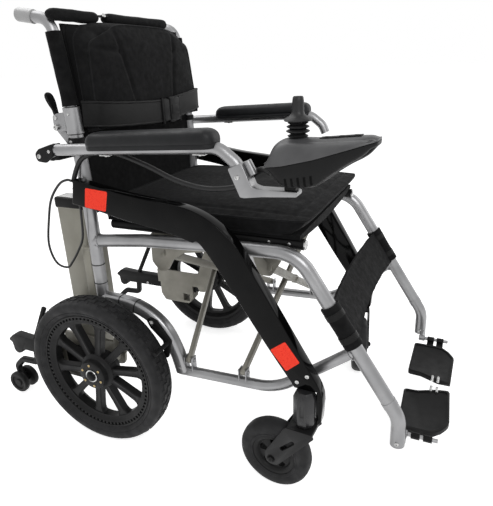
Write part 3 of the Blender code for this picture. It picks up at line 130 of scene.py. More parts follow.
CANE_FOOT = (0.012, POST_TOP + 0.0005)
CANE_COLLAR_TOP = (0.0143, 0.737)
CANE_CORNER = (0.0303, 0.891)
CANE_END = (0.1035, 0.9035)
COLLAR_R = 0.0165
SLEEVE_R = 0.0146
GRIP_R = 0.0125
GRIP_START = 0.068
ARMREST_X = FRAME_X + 0.0435
ARMREST_TUBE_R = 0.011
ARMREST_PIVOT = (0.056, 0.650)
ARMREST_REAR = (0.030, 0.6605)
ARMREST_FRONT = (-0.3225, 0.6770)
ARMREST_SLOPE = (ARMREST_FRONT[1] - ARMREST_REAR[1]) / (ARMREST_REAR[0] - ARMREST_FRONT[0])
PAD_REAR = -0.058
PAD_FRONT = -0.322
PAD_HALF = 0.0245
PAD_THICK = 0.032
SEAT_HALF = 0.2095
SEAT_REAR = -0.012
SEAT_FRONT = -0.461
SEAT_BOTTOM = 0.5156
SLING_LOW = 0.689
SLING_HIGH = 0.884
FOOT_PIN_X = FRAME_X - 0.032
FOOT_PIN_Z = 0.135
FOOT_PIN_R = 0.004
FOOTPLATE_REAR = -0.632
FOOTPLATE_FRONT = -0.728
TIPPER_X = FRAME_X + 0.005
ROLLER_R = 0.029
ROLLER_AXLE = (0.317, 0.037)
JOYSTICK_Y = -0.459
GIMBAL_Z = 0.700

# The photograph's camera
PHOTO_WIDTH = 493
FOCAL_PX = 486.376
SENSOR = 36.0
EYE = Vector((-0.97653, -0.69134 + AXLE_Y, 0.80244))
VIEW_AZIMUTH = math.radians(-65.617)
VIEW_DOWN = math.radians(21.226)
VIEW_ROLL = math.radians(-2.049)


# Directions, and how sharp an edge has to be to stay sharp, in degrees
OUTWARD = (1, 0, 0)
INWARD = (-1, 0, 0)
UPWARD = (0.0, 0.0, 1.0)
UPRIGHT = Matrix.Rotation(math.radians(-90.0), 4, "Y")
HARD_SHARP = 38.0
SHELL_SHARP = 50.0
CLOTH_SHARP = 60.0
AXLE_SHIFT = Vector((0.0, AXLE_Y, 0.0))

# Bands that a wave texture draws in a metre at a scale of 1
WAVES_PER_SCALE = 3.18

# From this share on, a point of a slab is on its rim or on its front
EDGE = 0.999


# Shape tools

def closed_mesh(bm):
    bmesh.ops.recalc_face_normals(bm, faces=bm.faces)
    mesh = bpy.data.meshes.new("shape")
    bm.to_mesh(mesh)
    bm.free()
    return mesh


def bridge(bm, rings):
    """Faces between each ring of vertices and the next."""
    for first, second in zip(rings, rings[1:]):
        for i in range(len(first)):
            j = (i + 1) % len(first)
            bm.faces.new((first[i], first[j], second[j], second[i]))


def skin(rings, looped=False):
    """A closed surface through rings of points: capped at both ends, or looped round to its start."""
    bm = bmesh.new()
    rings = [[bm.verts.new(p) for p in ring] for ring in rings]
    if looped:
        bridge(bm, rings + rings[:1])
    else:
        bridge(bm, rings)
        bm.faces.new(list(reversed(rings[0])))
        bm.faces.new(rings[-1])
    return closed_mesh(bm)


def circle(radius, sides=20):
    """A round section: (across, up) offsets, counterclockwise."""
    turns = [2.0 * math.pi * k / sides for k in range(sides)]
    return [(radius * math.cos(t), radius * math.sin(t)) for t in turns]


def rounded_box(wide, high, corner, steps=4):
    """A box section with round corners, counterclockwise."""
    points = []
    for sx, sy, start in ((1, 1, 0.0), (-1, 1, 0.5), (-1, -1, 1.0), (1, -1, 1.5)):
        cx, cy = sx * (wide / 2 - corner), sy * (high / 2 - corner)
        for k in range(steps + 1):
            turn = math.pi * (start + 0.5 * k / steps)
            points.append((cx + corner * math.cos(turn), cy + corner * math.sin(turn)))
    return points


def rounded(points, radius, steps=8, closed=False):
    """A polyline or outline with its corners replaced by arcs. radius is one value, or one each."""
    points = [Vector(p) for p in points]
    count = len(points)
    radii = radius if isinstance(radius, (list, tuple)) else [radius] * count
    out = []
    for k, here in enumerate(points):
        if radii[k] <= 0.0 or not closed and k in (0, count - 1):
            out.append(here.copy())
            continue
        back = points[k - 1] - here
        ahead = points[(k + 1) % count] - here
        corner = back.angle(ahead)
        reach = min(radii[k] / math.tan(corner / 2), 0.48 * back.length, 0.48 * ahead.length)
        arc = reach * math.tan(corner / 2)
        centre = here + (back.normalized() + ahead.normalized()).normalized() * (arc / math.sin(corner / 2))
        first = here + back.normalized() * reach - centre
        last = here + ahead.normalized() * reach - centre
        whole = first.angle(last)
        for i in range(steps + 1):
            near = math.sin((1 - i / steps) * whole) / math.sin(whole)
            far = math.sin(i / steps * whole) / math.sin(whole)
            out.append(centre + first * near + last * far)
    return out


def smooth(points, per=6):
    """Points on a smooth curve through the given points, `per` of them to each stretch."""
    points = [Vector(p) for p in points]
    out = []
    for k, (b, c) in enumerate(zip(points, points[1:])):
        a = points[k - 1] if k > 0 else b * 2 - c
        d = points[k + 2] if k + 2 < len(points) else c * 2 - b
        for i in range(per):
            t = i / per
            out.append(0.5 * (2 * b + (c - a) * t + (2 * a - 5 * b + 4 * c - d) * t**2
                              + (3 * b - a - 3 * c + d) * t**3))
    return out + [points[-1]]


def sweep(path, section, across=(1.0, 0.0, 0.0), sizes=None, round_ends=0.0):
    """The section carried along a path, its first direction kept towards `across`.

    sizes scales the section at each point. round_ends draws the last `round_ends` metres in.
    """
    path = [Vector(p) for p in path]
    sizes = sizes or [1.0] * len(path)
    if round_ends > 0.0:
        first = (path[1] - path[0]).normalized() * round_ends
        last = (path[-2] - path[-1]).normalized() * round_ends
        path = [path[0], path[0] + first * 0.3, path[0] + first] + path[1:-1] + [
            path[-1] + last, path[-1] + last * 0.3, path[-1]]
        sizes = [0.70, 0.90, 1.0] + sizes[1:-1] + [1.0, 0.90, 0.70]
    rings = []
    for k, here in enumerate(path):
        before = (here - path[k - 1]).normalized() if k > 0 else None
        after = (path[k + 1] - here).normalized() if k + 1 < len(path) else None
        if before is None or after is None:
            along = before or after
            mitre = 1.0
        else:
            along = (before + after).normalized()
            mitre = 1.0 / max(0.5, along.dot(after))
        side = Vector(across)
        side = (side - along * side.dot(along)).normalized()
        up = along.cross(side)
        rings.append([here + (side * a + up * (b * mitre)) * sizes[k] for a, b in section])
    return skin(rings)


def side_path(points, x=FRAME_X):
    """(y, z) points as points in space, in the plane at x."""
    return [Vector((x, p[0], p[1])) for p in points]


def side_tube(points, radius, x=FRAME_X, sides=24, **more):
    """A round tube through (y, z) points in the plane at x."""
    return sweep(side_path(points, x), circle(radius, sides), **more)


def polar(along, radius, turn):
    """A point round the X axis."""
    return (along, radius * math.cos(turn), radius * math.sin(turn))


def plate(outline, x0, x1, edge=0.0, steps=2):
    """A (y, z) outline extruded from x0 to x1, its long edges rounded by `edge`."""
    bm = bmesh.new()
    lower, upper = ([bm.verts.new((x, p[0], p[1])) for p in outline] for x in (x0, x1))
    bm.faces.new(lower)
    bm.faces.new(upper)
    bridge(bm, [lower, upper])
    if edge > 0.0:
        caps = [e for e in bm.edges if abs(e.verts[0].co.x - e.verts[1].co.x) < 1e-7]
        bmesh.ops.recalc_face_normals(bm, faces=bm.faces)
        bmesh.ops.bevel(bm, geom=caps, offset=edge, segments=steps, profile=0.5, affect="EDGES",
                        clamp_overlap=True)
    return closed_mesh(bm)


def block(x0, x1, y0, y1, z0, z1, edge=0.0, steps=2):
    """A box with rounded edges."""
    bm = bmesh.new()
    bmesh.ops.create_cube(bm, size=1.0)
    for v in bm.verts:
        v.co = Vector((
            x0 + (v.co.x + 0.5) * (x1 - x0),
            y0 + (v.co.y + 0.5) * (y1 - y0),
            z0 + (v.co.z + 0.5) * (z1 - z0),
        ))
    if edge > 0.0:
        bmesh.ops.bevel(bm, geom=bm.edges[:], offset=edge, segments=steps, profile=0.5, affect="EDGES")
    return closed_mesh(bm)


def turned(profile, steps=64):
    """A solid of revolution about X, from (radius, along) points; closed on the axis, or a ring."""
    bm = bmesh.new()
    columns = []
    for radius, along in profile:
        if radius <= 0.0:
            columns.append([bm.verts.new((along, 0.0, 0.0))] * steps)
        else:
            columns.append([bm.verts.new(polar(along, radius, 2.0 * math.pi * k / steps))
                            for k in range(steps)])
    pairs = list(zip(columns, columns[1:]))
    if profile[0][0] > 0.0:
        pairs.append((columns[-1], columns[0]))
    for first, second in pairs:
        for k in range(steps):
            n = (k + 1) % steps
            corners = [first[k], first[n], second[n], second[k]]
            face = [v for i, v in enumerate(corners) if v not in corners[:i]]
            if len(face) > 2:
                bm.faces.new(face)
    return closed_mesh(bm)


def both_ways(profile):
    """(radius, along) points on one side of the middle, and their mirror image back to the start."""
    return profile + [(r, -a) for r, a in reversed(profile)]


def rod(radius, start, end, sides=20, edge=0.0):
    """A round bar between two points, its ends rounded off by `edge`."""
    start, end = Vector(start), Vector(end)
    hint = UPWARD if abs((end - start).normalized().z) < 0.9 else OUTWARD
    return sweep([start, end], circle(radius, sides), hint, round_ends=edge)


def cross_rod(radius, x, half, y, z, **ends):
    """A round bar along X, as long on either side of x."""
    return rod(radius, (x - half, y, z), (x + half, y, z), **ends)


def moved(mesh, offset=(0.0, 0.0, 0.0), turn=None):
    copy = mesh.copy()
    if turn is not None:
        copy.transform(turn)
    copy.transform(Matrix.Translation(Vector(offset)))
    return copy


def mirrored(mesh):
    copy = mesh.copy()
    copy.transform(Matrix.Scale(-1.0, 4, (1.0, 0.0, 0.0)))
    copy.flip_normals()
    return copy


def joined(*meshes):
    """Several closed shells as one mesh."""
    bm = bmesh.new()
    for mesh in meshes:
        bm.from_mesh(mesh)
    mesh = bpy.data.meshes.new("shape")
    bm.to_mesh(mesh)
    bm.free()
    return mesh


def aimed(axis):
    """The turn that takes +X to the given direction."""
    return Vector((1.0, 0.0, 0.0)).rotation_difference(Vector(axis)).to_matrix().to_4x4()


def screw(centre, axis, radius, rise, socket=True):
    """A domed screw head with a hexagon socket, or plain; centre is on the face it sits on."""
    profile = [(0.0, -0.001), (radius, -0.001), (radius, 0.35 * rise), (0.90 * radius, 0.75 * rise)]
    if socket:
        profile += [(0.55 * radius, rise), (0.50 * radius, rise), (0.46 * radius, 0.35 * rise),
                    (0.0, 0.35 * rise)]
    else:
        profile += [(0.55 * radius, rise), (0.0, 1.1 * rise)]
    return moved(turned(profile, 18), centre, aimed(axis))


def nut(centre, axis, radius, rise):
    """A six-sided nut with a rounded crown, a washer and the end of its bolt."""
    body = turned([(0.0, -0.001), (radius, -0.001), (radius, 0.75 * rise), (0.85 * radius, rise),
                   (0.0, rise)], 6)
    washer = turned([(0.0, -0.001), (1.25 * radius, -0.001), (1.25 * radius, 0.0010), (0.0, 0.0010)], 24)
    end = turned([(0.0, 0.0), (0.5 * radius, 0.0), (0.45 * radius, 1.35 * rise), (0.0, 1.4 * rise)], 16)
    return moved(joined(body, washer, end), centre, aimed(axis))


# Finishes: each is a material built from noise, waves and cells in the part's own space

class Finish:
    """A material in the making. Coordinates are the part's own, in metres."""

    def __init__(self, name, slot, colour, roughness, metallic=0.0):
        self.slot = slot
        self.material = bpy.data.materials.new(name)
        self.material.use_nodes = True
        self.tree = self.material.node_tree
        self.shader = self.tree.nodes["Principled BSDF"]
        self.set(Base_Color=(*colour, 1.0), Roughness=roughness, Metallic=metallic)
        self.place = self.tree.nodes.new("ShaderNodeTexCoord").outputs["Object"]
        self.height = None

    def set(self, **values):
        """Plain values for the shader's own sockets, by name with _ for a space."""
        for name, value in values.items():
            self.shader.inputs[name.replace("_", " ")].default_value = value
        return self

    def add(self, kind, **values):
        """A node of this kind with plain values in its sockets, by name with _ for a space."""
        node = self.tree.nodes.new("ShaderNode" + kind)
        for name, value in values.items():
            node.inputs[name.replace("_", " ")].default_value = value
        return node

    def noise(self, per_metre, detail=3.0):
        node = self.add("TexNoise", Scale=per_metre, Detail=detail)
        self.tree.links.new(self.place, node.inputs["Vector"])
        return node.outputs["Fac"]

    def cells(self, per_metre, stretch=(1.0, 1.0, 1.0)):
        node = self.add("TexVoronoi", Scale=per_metre)
        place = self.add("Mapping", Scale=stretch)
        self.tree.links.new(self.place, place.inputs["Vector"])
        self.tree.links.new(place.outputs["Vector"], node.inputs["Vector"])
        return node.outputs["Distance"]

    def ribs(self, per_metre, direction, distortion):
        node = self.add("TexWave", Scale=per_metre / WAVES_PER_SCALE, Distortion=distortion)
        node.bands_direction = direction
        self.tree.links.new(self.place, node.inputs["Vector"])
        return node.outputs["Fac"]

    def colours(self, source, low, high, start=0.3, end=0.7):
        """Base colour from one tone to another as the source goes from start to end."""
        node = self.add("ValToRGB")
        for element, position, tone in zip(node.color_ramp.elements, (start, end), (low, high)):
            element.position = position
            element.color = (*tone, 1.0)
        self.tree.links.new(source, node.inputs["Fac"])
        self.tree.links.new(node.outputs["Color"], self.shader.inputs["Base Color"])

    def gloss(self, source, low, high, start=0.3, end=0.7):
        """Roughness from one value to another as the source goes from start to end."""
        node = self.add("MapRange", From_Min=start, From_Max=end, To_Min=low, To_Max=high)
        self.tree.links.new(source, node.inputs["Value"])
        self.tree.links.new(node.outputs["Result"], self.shader.inputs["Roughness"])

    def relief(self, source, depth, strength=1.0):
        """Surface relief: `depth` metres between the source's 0 and 1. Later ones lie on earlier ones."""
        node = self.add("Bump", Distance=depth, Strength=strength)
        self.tree.links.new(source, node.inputs["Height"])
        if self.height is not None:
            self.tree.links.new(self.height, node.inputs["Normal"])
        self.height = node.outputs["Normal"]
        self.tree.links.new(self.height, self.shader.inputs["Normal"])


def grey(tone, blue=1.0):
    """A neutral tone, or one with a little more blue."""
    return (tone, tone, tone * blue)


def satin_silver(name="satin silver", slot="silver", low=(0.25, 0.25, 0.255), high=(0.32, 0.32, 0.325)):
    look = Finish(name, slot, high, 0.36, 0.80)
    look.colours(look.noise(14.0, 4.0), low, high, 0.35, 0.65)
    look.gloss(look.noise(60.0, 5.0), 0.28, 0.40)
    look.relief(look.noise(900.0, 2.0), 0.00005, 0.5)
    return look


def gloss_black():
    look = Finish("gloss black paint", "gloss_black", (0.002, 0.002, 0.002), 0.08)
    look.colours(look.noise(40.0, 6.0), (0.0010, 0.0010, 0.0012), (0.0035, 0.0035, 0.0035))
    look.gloss(look.noise(26.0, 6.0), 0.05, 0.13, 0.35, 0.75)
    look.relief(look.noise(220.0, 2.0), 0.00003, 0.5)
    return look.set(Specular_IOR_Level=0.10)


def moulded_black(name="moulded black plastic", slot="black_plastic", tone=0.007, depth=0.00010,
                  specular=0.13):
    look = Finish(name, slot, grey(tone), 0.5)
    look.colours(look.noise(22.0, 5.0), grey(0.75 * tone, 1.04), grey(1.25 * tone, 1.024))
    look.gloss(look.noise(45.0, 4.0), 0.36, 0.54)
    look.relief(look.cells(1400.0), depth, 0.5)
    return look.set(Specular_IOR_Level=specular)


def tyre_rubber():
    look = Finish("tyre rubber", "tyre_rubber", (0.013, 0.013, 0.0135), 0.75)
    look.colours(look.noise(18.0, 6.0), (0.009, 0.009, 0.0095), (0.019, 0.019, 0.020), 0.32, 0.72)
    look.gloss(look.noise(60.0, 4.0), 0.55, 0.80)
    look.relief(look.noise(700.0, 3.0), 0.00016, 0.6)
    return look.set(Specular_IOR_Level=0.25)


def moulded_foam():
    look = Finish("moulded foam", "pad_foam", (0.012, 0.0125, 0.0135), 0.50)
    look.colours(look.noise(30.0, 5.0), (0.006, 0.0063, 0.0070), (0.012, 0.0124, 0.0135))
    look.gloss(look.noise(80.0, 3.0), 0.38, 0.54)
    look.relief(look.cells(620.0), 0.00022, 0.7)
    look.relief(look.noise(160.0, 3.0), 0.00016, 0.5)
    return look.set(Specular_IOR_Level=0.22)


def grey_paint():
    look = Finish("warm grey paint", "stone", (0.23, 0.22, 0.19), 0.45, 0.4)
    look.colours(look.noise(16.0, 5.0), (0.18, 0.17, 0.145), (0.27, 0.26, 0.225))
    look.gloss(look.noise(70.0, 4.0), 0.36, 0.55)
    look.relief(look.noise(650.0, 2.0), 0.00008, 0.6)
    return look


def dark_grey():
    look = Finish("satin dark grey plastic", "dark_grey", (0.013, 0.013, 0.014), 0.34)
    look.colours(look.cells(900.0), (0.008, 0.008, 0.009), (0.019, 0.019, 0.020), 0.1, 0.6)
    look.gloss(look.noise(120.0, 3.0), 0.26, 0.38)
    look.relief(look.cells(1100.0), 0.00010, 0.5)
    return look.set(Specular_IOR_Level=0.36)


def battery_grey():
    look = Finish("battery case", "battery_grey", (0.26, 0.25, 0.21), 0.42, 0.2)
    look.colours(look.noise(9.0, 5.0), (0.22, 0.21, 0.175), (0.30, 0.29, 0.245))
    look.gloss(look.noise(50.0, 4.0), 0.34, 0.50)
    look.relief(look.noise(800.0, 2.0), 0.00008, 0.5)
    return look


def bright_steel():
    look = Finish("bright steel", "silver", (0.50, 0.50, 0.50), 0.22, 1.0)
    look.colours(look.noise(120.0, 3.0), (0.40, 0.40, 0.40), (0.56, 0.56, 0.55))
    look.gloss(look.noise(300.0, 3.0), 0.16, 0.32)
    look.relief(look.ribs(1500.0, "Y", 2.0), 0.00002, 0.5)
    return look


def brass():
    look = Finish("yellow plated steel", "silver", (0.55, 0.44, 0.24), 0.28, 1.0)
    look.colours(look.noise(200.0, 3.0), (0.46, 0.36, 0.19), (0.62, 0.50, 0.28))
    look.relief(look.noise(600.0, 2.0), 0.00003, 0.5)
    return look


def red_reflector():
    look = Finish("red reflector", "gloss_black", (0.95, 0.045, 0.018), 0.25)
    look.colours(look.cells(420.0), (1.0, 0.060, 0.022), (0.80, 0.020, 0.008), 0.1, 0.9)
    look.relief(look.cells(420.0), 0.00014, 0.5)
    # The emission is a painted glow: the reflector shines a little of itself, though it is no lamp.
    return look.set(Specular_IOR_Level=0.20, Emission_Color=(1.0, 0.04, 0.015, 1.0), Emission_Strength=0.12)


def woven(name, tone, sheen, depth=0.00020):
    """Close cloth: fine cells of thread over slow changes of tone and small creases."""
    look = Finish(name, "black_cloth", grey(tone), 0.9)
    look.colours(look.noise(26.0, 6.0), (0.65 * tone, 0.66 * tone, 0.70 * tone),
                 (1.3 * tone, 1.3 * tone, 1.36 * tone))
    look.gloss(look.noise(90.0, 3.0), 0.74, 0.95)
    look.relief(look.cells(720.0, (1.0, 1.0, 0.6)), depth, 0.8)
    look.relief(look.noise(110.0, 4.0), 0.0008, 0.35)
    return look.set(Sheen_Weight=sheen, Sheen_Roughness=0.4, Specular_IOR_Level=0.12)


def belt_webbing():
    tone = 0.0032
    look = Finish("belt webbing", "black_cloth", grey(tone), 0.6)
    look.colours(look.noise(50.0, 4.0), grey(0.7 * tone), grey(1.4 * tone))
    look.gloss(look.ribs(420.0, "Z", 1.0), 0.45, 0.70)
    look.relief(look.ribs(420.0, "Z", 0.6), 0.00018, 0.7)
    return look.set(Sheen_Weight=0.03, Specular_IOR_Level=0.18)


SILVER = satin_silver()
GRIP = satin_silver("grey grip", "grip_grey", (0.34, 0.34, 0.34), (0.42, 0.42, 0.42)).set(Metallic=0.2)
GLOSS = gloss_black()
PLASTIC = moulded_black()
RIM = moulded_black("wheel plastic", "black_plastic", 0.009, 0.00008, 0.16)
RUBBER = tyre_rubber()
FOAM = moulded_foam()
# Near-black, darker than the other plastics: painted shade in the controller's seam and vent slots; the
# button strip takes it too.
SHADE = moulded_black("dark recess", "black_plastic", 0.003, 0.00004, 0.05)
PAINT = grey_paint()
DARK = dark_grey()
BATTERY = battery_grey()
STEEL = bright_steel()
BRASS = brass()
RED = red_reflector()
CLOTH = woven("cushion cloth", 0.006, 0.03)
NYLON = woven("sling nylon", 0.004, 0.02, 0.00010)
PIPING = woven("piping", 0.011, 0.04, 0.00008)
BAND = woven("calf strap cloth", 0.006, 0.03)
BELT = belt_webbing()
CORD = moulded_black("cable sheath", "gloss_black", 0.008, 0.00004, 0.35)
PAINT_DARK = moulded_black("caster fork paint", "stone", 0.012, 0.00006, 0.26).set(Metallic=0.15)
# One dark grey plastic in two tones: the lid made lighter as a painted highlight, the base darker as painted
# shade.
LID_HIGHLIGHT_PLASTIC = moulded_black("controller lid plastic with painted highlight", "dark_grey", 0.062, 0.00010, 0.50)
BASE_SHADE_PLASTIC = moulded_black("controller base plastic with painted shade", "dark_grey", 0.007, 0.00008, 0.14)
KNOB = moulded_black("stick plastic", "dark_grey", 0.018, 0.00006, 0.26)
MATT_RUBBER = moulded_black("bellows rubber", "boot_rubber", 0.014, 0.00008, 0.25)


# Placing

def made(name, mesh, look, sharp=HARD_SHARP):
    """The mesh as an object in the scene, in its finish."""
    mesh = mesh.copy()
    mesh.name = name
    mesh.transform(Matrix.Translation(AXLE_SHIFT))
    mesh.materials.clear()
    mesh.materials.append(look.material)
    mesh.shade_smooth()
    mesh.set_sharp_from_angle(angle=math.radians(sharp))
    obj = bpy.data.objects.new(name, mesh)
    bpy.context.scene.collection.objects.link(obj)
    return obj


def piece(name, mesh, look, body, replaced=(), sharp=HARD_SHARP):
    """The mesh as a shown piece that rides on a body and may stand for CAD nodes."""
    obj = made(name, mesh, look, sharp)
    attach(obj, body)
    if replaced:
        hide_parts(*replaced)
    return obj


def pair(name, mesh, look, body, replaced=None):
    """The left piece and its mirror image. {} in body and replaced is the side."""
    both = []
    for side, shape in (("left", mesh), ("right", mirrored(mesh))):
        nodes = [replaced.format(side)] if replaced else []
        both.append(piece(f"{name}_{side}", shape, look, body.format(side), nodes))
    return both


def softened(node, look, width=0.0008):
    """A copy of a CAD node with its edges rounded, standing for it."""
    source = frame["nodes"][node]
    obj = bpy.data.objects.new(node + "_soft", source.data.copy())
    bpy.context.scene.collection.objects.link(obj)
    bm = bmesh.new()
    bm.from_mesh(obj.data)
    bmesh.ops.remove_doubles(bm, verts=bm.verts, dist=0.00001)
    bmesh.ops.dissolve_limit(bm, angle_limit=math.radians(1.0), verts=bm.verts, edges=bm.edges)
    bm.to_mesh(obj.data)
    bm.free()
    bevel = obj.modifiers.new("edges", "BEVEL")
    bevel.width = width
    bevel.segments = 2
    bevel.limit_method = "ANGLE"
    bevel.angle_limit = math.radians(34.0)
    bevel.use_clamp_overlap = True
    final = finished(obj)
    final.transform(Matrix.Translation(-AXLE_SHIFT))
    return piece(node + "_soft", final, look, source["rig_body"], [node])


def finished(obj):
    """The object's mesh after its modifiers. The object itself goes."""
    bpy.context.view_layer.update()
    graph = bpy.context.evaluated_depsgraph_get()
    mesh = bpy.data.meshes.new_from_object(obj.evaluated_get(graph))
    bpy.data.objects.remove(obj, do_unlink=True)
    return mesh


def softened_pair(node, look, width=0.0008):
    for side in ("left", "right"):
        softened(f"{node}_{side}", look, width)


# Side frame

def seat_tube_path():
    corners = [(0.006, SEAT_TUBE_REAR_Z), (-0.120, SEAT_TUBE_Z - 0.012), (-0.260, SEAT_TUBE_Z - 0.004),
               (LEG_CORNER_Y, SEAT_TUBE_Z), (FOOT_Y, FOOT_CORNER_Z), (FOOT_Y - 0.001, FOOT_BOTTOM)]
    return rounded(corners, [0, 0.10, 0.10, 0.07, 0.06, 0], steps=10)


def leg_point(z):
    """The leg tube's middle line (y) at a height between its two bends."""
    share = (SEAT_TUBE_Z - z) / (SEAT_TUBE_Z - FOOT_CORNER_Z)
    return LEG_CORNER_Y + share * (FOOT_Y - LEG_CORNER_Y)


def lower_rear_path():
    return smooth([(0.010, BOTTOM_Z + 0.1425), (-0.030, BOTTOM_Z + 0.1425), (-0.075, BOTTOM_Z + 0.1400),
                   (-0.117, BOTTOM_Z + 0.1240), (-0.150, BOTTOM_Z + 0.0950), (-0.174, BOTTOM_Z + 0.0480),
                   (REAR_CORNER_Y, BOTTOM_Z)])


def bottom_path():
    corners = [(REAR_CORNER_Y + 0.007, BOTTOM_Z), (-0.402, BOTTOM_Z + 0.010), (leg_point(WELD_Z), WELD_Z)]
    return rounded(corners, [0, 0.12, 0], steps=14)


def weld_bead(centre, axis, radius, seed):
    """A ring of weld: a torus with a rippled surface, round a tube at its joint."""
    around, about = 40, 8
    rings = []
    for i in range(around):
        turn = 2 * math.pi * i / around
        ripple = 1.0 + 0.22 * math.sin(17 * turn + seed)
        rings.append([polar(0.0022 * ripple * b, radius + 0.0017 * ripple * a, turn)
                      for a, b in circle(1.0, about)])
    return moved(skin(rings, looped=True), centre, aimed(axis))


def frame_tubes():
    sleeve_low, sleeve_high = 0.214, 0.226
    tubes = [
        side_tube([(0.006, BOTTOM_Z + 0.138), (0.007, 0.600), (0.012, POST_TOP)], TUBE_R),
        side_tube(seat_tube_path(), TUBE_R, round_ends=0.0015),
        side_tube(bottom_path(), BOTTOM_R),
        sweep(side_path(lower_rear_path()), rounded_box(0.0265, 0.030, 0.009)),
        side_tube([(leg_point(z), z) for z in (sleeve_low, sleeve_high)], TUBE_R + 0.0007, round_ends=0.0010),
    ]
    beads = [
        ((-0.0082, SEAT_TUBE_REAR_Z + 0.0012), (0, -1, 0.1), TUBE_R + 0.0003),
        ((leg_point(WELD_Z) + 0.0115, WELD_Z - 0.0095), (0, 0.78, -0.62), BOTTOM_R + 0.0005),
        ((REAR_CORNER_Y + 0.0026, BOTTOM_Z + 0.0125), (0, 0.25, -0.97), BOTTOM_R + 0.0020),
        ((-0.0068, BOTTOM_Z + 0.1425), (0, 1, 0), TUBE_R + 0.0012),
    ]
    return joined(*tubes, *[weld_bead((FRAME_X, *place), axis, radius, float(seed))
                            for seed, (place, axis, radius) in enumerate(beads)])


def clevis(station, side):
    """Two ears that hold a brace's foot, with pin and nuts. side is the way that the foot lies off."""
    foot_y, top_y = station
    y = foot_y + side * LEG_SHIFT
    lean = abs(top_y - foot_y) / (FRAME_X + RAIL_X)
    inner = LEG_THICK / 2 + 0.0006 + lean * CLEVIS_HALF
    outer = inner + 0.003
    reach = outer + 0.0015
    parts = []
    for way in (-1, 1):
        y0, y1 = sorted((y + way * inner, y + way * outer))
        parts.append(block(FRAME_X - CLEVIS_HALF, FRAME_X + CLEVIS_HALF, y0, y1, BOTTOM_Z + 0.003,
                           BRACE_FOOT_Z + 0.008, 0.0012))
        parts.append(nut((FRAME_X, y + way * outer, BRACE_FOOT_Z), (0, way, 0), 0.0042, 0.0028))
    parts.append(rod(LEG_PIN_R, (FRAME_X, y - reach, BRACE_FOOT_Z), (FRAME_X, y + reach, BRACE_FOOT_Z)))
    return joined(*parts)


def frame_fittings():
    """Lug, strut, tab and footplate bracket, welded to the tubes."""
    x = FRAME_X
    py, pz = BACK_PIVOT
    lug = rounded([(0.004, pz - 0.046), (0.024, pz - 0.046), (py + 0.0085, pz - 0.008),
                   (py + 0.0085, pz + 0.008), (py - 0.006, pz + 0.007), (0.0315, pz - 0.0150),
                   (0.004, pz - 0.0150)],
                  [0, 0.008, 0.007, 0.007, 0.006, 0.002, 0], steps=5, closed=True)
    strut = [(0.010, 0.644), (0.034, 0.643), (0.034, 0.656), (0.010, 0.660)]
    tab = [(-0.062, BOTTOM_Z + 0.137), (-0.014, BOTTOM_Z + 0.139), (-0.018, BOTTOM_Z + 0.100),
           (-0.058, BOTTOM_Z + 0.100)]
    y = FOOTPLATE_REAR - 0.0165
    return joined(
        plate(lug, x - 0.003, x + 0.003, 0.0008),
        plate(strut, x - 0.006, x + 0.006, 0.0025, 3),
        plate(tab, x - 0.0090, x - 0.0030, 0.0010),
        rod(0.0065, (x - 0.004, y, FOOT_PIN_Z + 0.003), (FOOT_PIN_X, y, FOOT_PIN_Z)),
        rod(0.0070, (FOOT_PIN_X, y + 0.0075, FOOT_PIN_Z), (FOOT_PIN_X, y - 0.0075, FOOT_PIN_Z), edge=0.001),
        rod(FOOT_PIN_R, (FOOT_PIN_X, y, FOOT_PIN_Z), (FOOT_PIN_X, FOOTPLATE_FRONT + 0.018, FOOT_PIN_Z)),
    )


def frame_fasteners():
    x = FRAME_X
    foot = (FOOT_Y - 0.001, FOOT_BOTTOM + 0.012)
    return joined(
        cross_rod(0.0035, x, 0.0135, *BACK_PIVOT, edge=0.0005),
        screw((x + 0.0133, *BACK_PIVOT), OUTWARD, 0.0058, 0.0028),
        rod(0.0040, (x, *BRAKE_PIVOT), (x + 0.0185, *BRAKE_PIVOT)),
        nut((x + 0.0185, *BRAKE_PIVOT), OUTWARD, 0.0050, 0.0036),
        screw((x + 0.0130, *foot), OUTWARD, 0.0040, 0.0026),
        screw((x - 0.0130, *foot), INWARD, 0.0040, 0.0026),
    )


def cable_ties():
    bands = [side_tube([(0.0065, z - 0.0010), (0.0065, z + 0.0010)], TUBE_R + 0.0008) for z in (0.367, 0.410)]
    low = lower_rear_path()
    for k in (8, 13):
        along = (low[k + 1] - low[k]).normalized() * 0.0018
        bands.append(sweep(side_path([low[k], low[k] + along]), rounded_box(0.0280, 0.0315, 0.0096)))
    return joined(*bands)


def add_side_frames():
    for side, brace_side in (("left", -1), ("right", 1)):
        tubes = joined(frame_tubes(), clevis(FRONT_BRACE, brace_side), clevis(REAR_BRACE, brace_side))
        shape = tubes if side == "left" else mirrored(tubes)
        piece("frame_tubes_" + side, shape, SILVER, side + "_frame", ["side_frame_" + side])
    pair("frame_fittings", frame_fittings(), SILVER, "{}_frame")
    pair("frame_fasteners", frame_fasteners(), STEEL, "{}_frame")
    pair("cable_ties", cable_ties(), CORD, "{}_frame")


# Curved arms

def arm_outline():
    top = smooth([(-0.002, 0.604), (-0.066, 0.592), (-0.133, 0.581), (-0.209, 0.573), (-0.252, 0.567),
                  (-0.291, 0.552), (-0.327, 0.526), (-0.360, 0.486), (-0.480, 0.286), (-0.500, 0.252),
                  (-0.5075, 0.232)])
    front = [(-0.5090, 0.215), (-0.5070, 0.175), (-0.5000, HOUSING_BOTTOM + 0.004)]
    hollow_y = STEM_Y - HOUSING_R - 0.0012
    hollow = [(hollow_y, HOUSING_BOTTOM + 0.004), (hollow_y, HOUSING_TOP + GAP),
              (STEM_Y + HOUSING_R, HOUSING_TOP + GAP)]
    bottom = smooth([(-0.449, 0.249), (-0.400, 0.319), (-0.286, 0.489), (-0.255, 0.504), (-0.203, 0.518),
                     (-0.126, 0.530), (-0.057, 0.544), (0.009, 0.555)])
    return top + [Vector(p) for p in front + hollow] + bottom


